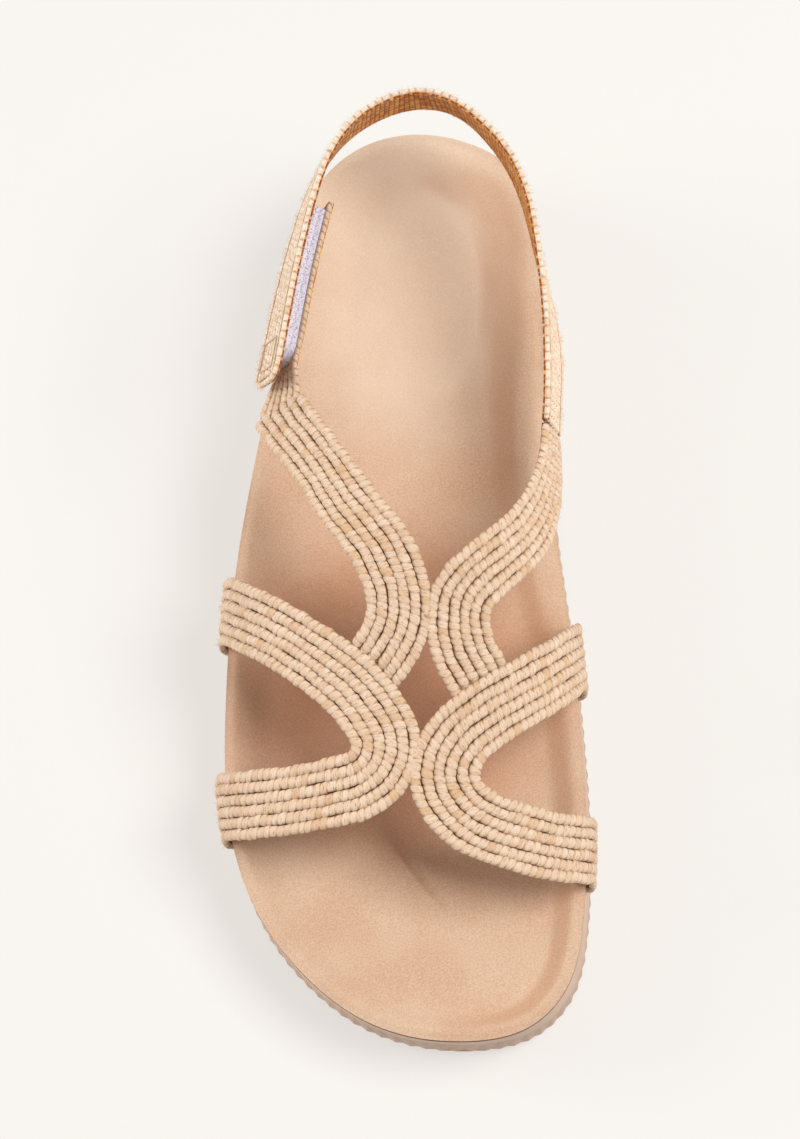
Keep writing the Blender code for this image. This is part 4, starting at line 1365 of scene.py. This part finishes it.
# %% Heel strap
COLUMNS = 5
COLUMN_HEIGHT = 0.0012
COLUMN_RISE = 0.0012
COLUMN_CHANGES = {"Wrap": 0.0018, "Around": 10, "Step": 0.00025}
BEAD_WIDTH = 0.0018
BEAD_HEIGHT = 0.0014
BEAD_SPARE = 0.0003
BEAD_CHANGES = {"Wrap": 0.0023, "Slant": 0.0, "Step": 0.0003}
LINING_WALL = 0.0006
LINING_LOW = 0.0001
LINING_CELL = 0.0014
STRAP_LINING_INSET = 0.0012
HEM_RADIUS = 0.0045
HEM_STOP = 0.0008


def strap_sheet(name, path, width, wall, low, finish, node, cell, rows, columns):
    """A sheet along a strap, its free end rounded like the hem."""
    places = np.linspace(0, path[0][-1] - HEM_STOP, rows)
    past = np.clip(places - path[0][-1] + HEM_STOP + HEM_RADIUS, 0, HEM_RADIUS)
    half = width / 2 - HEM_RADIUS + np.sqrt(HEM_RADIUS**2 - past**2)
    lines = [strap_points(path, places, half * share, low) for share in np.linspace(-1, 1, columns)]
    grid = np.stack([line for line, _ in lines], 1)
    ups = np.stack([up for _, up in lines], 1)
    return sheet(name, grid, wall, ups, finish, node, cell)


def lining(name, path, width, node):
    finish = strap_lining_finish
    return strap_sheet(name, path, width, LINING_WALL, LINING_LOW, finish, node, LINING_CELL, 260, 15)


# The strap's raffia is paler than the cords', partly its own colour and partly painted light that lifts the
# strap's outer face, which the lamps leave in shade.
bead_finish = raffia("raffia_bead", "#F8E9D9", "#F0DBC6", "#DFBF94", "#B48C64")
strap_inside = STRAP_WIDTH - 2 * EDGE_WIDTH
column_pitch = strap_inside / COLUMNS
column_offsets = (np.arange(COLUMNS) + 0.5) * column_pitch - strap_inside / 2
column_lines = []
for offset in column_offsets:
    end = column_end(strap, offset, STRAP_WIDTH / 2, HEM_RADIUS)
    column_lines.append(strap_line(strap, offset, COLUMN_RISE, end=end))
strap_columns = cords(
    "strap_columns", column_lines, column_pitch, COLUMN_HEIGHT, bead_finish, "heel_strap", 11,
    **COLUMN_CHANGES,
)
edge_line = hem_line(strap, (STRAP_WIDTH - EDGE_WIDTH) / 2 + BEAD_SPARE, HEM_RADIUS, COLUMN_RISE)
strap_edges = cords(
    "strap_edges", [edge_line], BEAD_WIDTH, BEAD_HEIGHT, bead_finish, "heel_strap", 13, **BEAD_CHANGES
)
lining("strap_lining", strap, STRAP_WIDTH - STRAP_LINING_INSET, "heel_strap")

# %% [markdown]
# ### The closure tab
#
# The outer rear band goes on as a short tab under the strap's free end. It has the band's own six cords,
# only flatter, so each of the tab's lines is joined to the nearest cord of the band and swept in one run.

# %% Closure tab
TAB_CORD_HEIGHT = 0.0015
TAB_LIFT = 0.0003
TAB_LINING_INSET = 0.0040


def tab_lines():
    """The outer rear band's cords carried on along the tab, each joined to its own cord of the band."""
    band, band_ups = band_lines(OUTER_REAR, cord_offsets(REAR_WIDTH), CORD_CENTRE)
    lines = []
    for offset in cord_offsets(TAB_WIDTH):
        line, up = strap_line(tab, offset, TAB_WALL / 2 + TAB_LIFT)
        nearest = int(np.linalg.norm(band[0] - line[-1], axis=1).argmin())
        line = np.vstack([line[:-6], band[2:9, nearest]])
        lines.append((line, np.vstack([up[:-6], band_ups[2:9, nearest]])))
    return lines


tab_pitch = TAB_WIDTH / CORDS
cords("tab_cords", tab_lines(), tab_pitch, TAB_CORD_HEIGHT, cord_finish, "closure_tab", 17, Step=0.0003)
lining("tab_lining", tab, TAB_WIDTH - TAB_LINING_INSET, "closure_tab")

# %% [markdown]
# ## Hook-and-loop
#
# The tape has two layers, one of soft loops and one of stiff hooks, pressed together. Seen on edge they
# are two pale lilac ribbons with a fuzz of fibres between. Each pad is a thin sheet, and the fuzz is a
# Geometry Nodes scatter: points strewn over the pad's faces with a fixed seed, a short bent fibre on
# each.

# %% Tape pads and their fuzz
TAPE_CELL = 0.0010
TAPE_SPARE = 0.00025
TAPE_OVERLAP = 0.0001
FUZZ_INPUTS = {
    "Geometry": "Geometry", "Density": "Float", "Length": "Float", "Radius": "Float", "Seed": "Int",
    "Finish": "Material",
}
TAPE_FUZZ = {"Density": 2.6e6, "Length": 0.00045, "Radius": 0.00006, "Seed": 4}


def tape_finish(name, low, high, gap):
    made, tree, shader = new_material(name, high, 0.85, sheen=0.3, specular=0.2)
    fine, broad = speckled(tree, object_place(tree), 2600.0, 200.0)
    fibres = mixed(tree, ramp(tree, fine, 0.35, 0.65), low, high)
    tone = mixed(tree, ramp(tree, broad, 0.50, 0.80, 0.0, 0.20), fibres, gap)
    coat(tree, shader, tone, fine, 0.00015, 0.6)
    return made


def fuzz_tree():
    tree = new_tree("fuzz", "GeometryNodeTree", FUZZ_INPUTS, {"Geometry": "Geometry"})
    entry = put(tree, "NodeGroupInput").outputs
    inputs = {"Mesh": entry["Geometry"], "Density": entry["Density"], "Seed": entry["Seed"]}
    points = put(tree, "GeometryNodeDistributePointsOnFaces", inputs).outputs
    length = Number(tree, entry["Length"])
    rise = vector(tree, Z=length)
    bent = vector(tree, X=length * 0.7, Z=length)
    inputs = {"Resolution": 2, "Start": (0, 0, 0), "Middle": rise, "End": bent}
    stalk = put(tree, "GeometryNodeCurveQuadraticBezier", inputs).outputs[0]
    inputs = {"Resolution": 3, "Radius": entry["Radius"]}
    ring = put(tree, "GeometryNodeCurvePrimitiveCircle", inputs).outputs[0]
    index = put(tree, "GeometryNodeInputIndex").outputs[0]
    spin = vector(tree, Z=random_value(tree, 0.0, 6.283, index, entry["Seed"]))
    inputs = {"Rotation": points["Rotation"], "Rotate By": spin}
    turn = put(tree, "FunctionNodeRotateRotation", inputs, rotation_space="LOCAL").outputs[0]
    inputs = {"Points": points["Points"], "Instance": swept(tree, stalk, ring), "Rotation": turn}
    strewn = put(tree, "GeometryNodeInstanceOnPoints", inputs).outputs[0]
    return close_tree(tree, strewn, entry["Finish"])


fuzz_nodes = fuzz_tree()


def tape_pad(name, depth, low, high, gap, node):
    path = inner_path(depth, strap_end - TAB_LENGTH + PAD_MARGIN, strap_end - 2 * PAD_MARGIN)
    finish = tape_finish(name, low, high, gap)
    wall = PAD_WALL + TAPE_SPARE
    pad = strap_sheet(name, path, PAD_WIDTH, wall, -TAPE_OVERLAP, finish, node, TAPE_CELL, 60, 9)
    grown(name + "_fuzz", pad.data.copy(), fuzz_nodes, TAPE_FUZZ | {"Finish": finish}, node)


tape_pad("loops", CLEARANCE + PAD_WALL, "#D3CDD9", "#DCD7E1", "#CAC3D0", "loop_pad")
tape_pad("hooks", 2 * (CLEARANCE + PAD_WALL), "#CAC4D4", "#D3CEDC", "#C0B9CA", "hook_pad")

# %% [markdown]
# ## Joins between the bands
#
# The bands only touch, so small ties hold them together: a bead between the two rear bands, and a turn of
# straw thread where the front bands meet. The place is not typed in but found, as the nearest pair of
# points on the two bands' cords, and a short cord bridges it.

# %% Joins between the bands
TIE_LIFT = 0.0007


def bridge(first, second, spare):
    """A short line from one band's cords to the other's where they come nearest, and its ups."""
    a = np.vstack([line for line, _ in first])
    b = np.vstack([line for line, _ in second])
    ups = np.vstack([up for _, up in first])
    gaps = np.linalg.norm(a[:, None, :] - b[None, :, :], axis=2)
    i, j = np.unravel_index(gaps.argmin(), gaps.shape)
    way = unit(b[j] - a[i])
    points = np.linspace(a[i] - way * spare, b[j] + way * spare, 12) + ups[i] * TIE_LIFT
    return points, np.tile(ups[i], (12, 1))


rear_tie_line = bridge(outer_rear_lines, inner_rear_lines, 0.0006)
cords("rear_tie", [rear_tie_line], 0.0024, 0.0022, cord_finish, "upper", 21, Wrap=0.0030, Wander=0.0)
straw_thread = raffia("straw_thread", "#E3C88E", "#D2AE6C", "#C79B52", "#8A6334")
front_tie_line = bridge(outer_front_lines, inner_front_lines, 0.0004)
cords("front_tie", [front_tie_line], 0.0009, 0.0012, straw_thread, "upper", 23, Wander=0.0)

# %% [markdown]
# ## Stitches
#
# A row of stitches runs inside the strap's hem, and a box of them holds the tape at its free end. Thread
# is the cord tree again, thin and with deep notches, so it breaks into single stitches.

# %% Stitches
THREAD = 0.00045
SEAM_RADIUS = 0.0030
SEAM_HEIGHT = 0.0017
SEAM_PITCH = 0.0023
BOX_HEIGHT = 0.0019
BOX_PITCH = 0.0016
BOX_NEAR = 0.0045
BOX_FAR = 0.0125
BOX_HALF = 0.0050

hem_thread = raffia("hem_thread", "#EAD8BE", "#DFC9A9", "#D0B48C", "#CDAE86")


def stitches(name, line, seed, pitch):
    cords(
        name, [line], THREAD, THREAD, hem_thread, "heel_strap", seed, Wrap=pitch, Notch=0.9, Slant=0.0,
        Wander=0.0, Around=6, Step=0.00035,
    )


seam = STRAP_WIDTH / 2 - EDGE_WIDTH + 0.0001
stitches("hem_stitches", hem_line(strap, seam, SEAM_RADIUS, SEAM_HEIGHT), 25, SEAM_PITCH)
box_runs = strap_end - np.array([BOX_NEAR, BOX_NEAR, BOX_FAR, BOX_FAR, BOX_NEAR])
box_sides = BOX_HALF * np.array([-1, 1, 1, -1, -1])
corners = np.column_stack([box_runs, box_sides])
walk = read_at(np.linspace(0, 4, 200), np.arange(5), corners)
stitches("box_stitches", strap_points(strap, walk[:, 0], walk[:, 1], BOX_HEIGHT), 27, BOX_PITCH)

# %% [markdown]
# ## Loose fibres
#
# Nothing cut or twisted from a plant is clean. The suede's raw edge has a nap of short fibres, and wisps
# of raffia lift off the cords and the strap. They are the tape's scatter again, strewn over a strip of
# the cover's rim and over the finished cords, whose tone each wisp takes with it.

# %% Fuzz on the cut edge
RIM_RINGS = 3
RIM_NAP = {"Density": 7.0e6, "Length": 0.00042, "Radius": 0.000035, "Seed": 8, "Finish": suede_finish}
rim_points = RIM_RINGS * FOOTBED_POINTS
rim_faces = [face for face in plan_faces if max(face) < rim_points]
rim_mesh = new_mesh("rim_strip", cover_top[:rim_points], [], rim_faces)
grown("edge_fuzz", rim_mesh, fuzz_nodes, RIM_NAP, "insole")

# %% [markdown]
# ### Wisps of raffia
#
# The table says for each piece how many wisps stand on a square metre of it and how long they are. Few
# and short is right: the cords should look dry and plant-like, not hairy.

# %% Wisps of raffia
WISP_RADIUS = 0.000035
WISPS = (
    (outer_front, "upper", 7.0e4, 0.0007, cord_finish),
    (inner_front, "upper", 7.0e4, 0.0007, cord_finish),
    (outer_rear, "upper", 7.0e4, 0.0007, cord_finish),
    (inner_rear, "upper", 7.0e4, 0.0007, cord_finish),
    (strap_edges, "heel_strap", 1.1e6, 0.0007, bead_finish),
    (strap_columns, "heel_strap", 1.6e5, 0.0006, bead_finish),
)

for number, (bearer, node, density, length, finish) in enumerate(WISPS):
    values = {"Density": density, "Length": length, "Radius": WISP_RADIUS, "Seed": 40 + number}
    values["Finish"] = finish
    grown(bearer.name + "_wisps", bearer.data.copy(), fuzz_nodes, values, node)
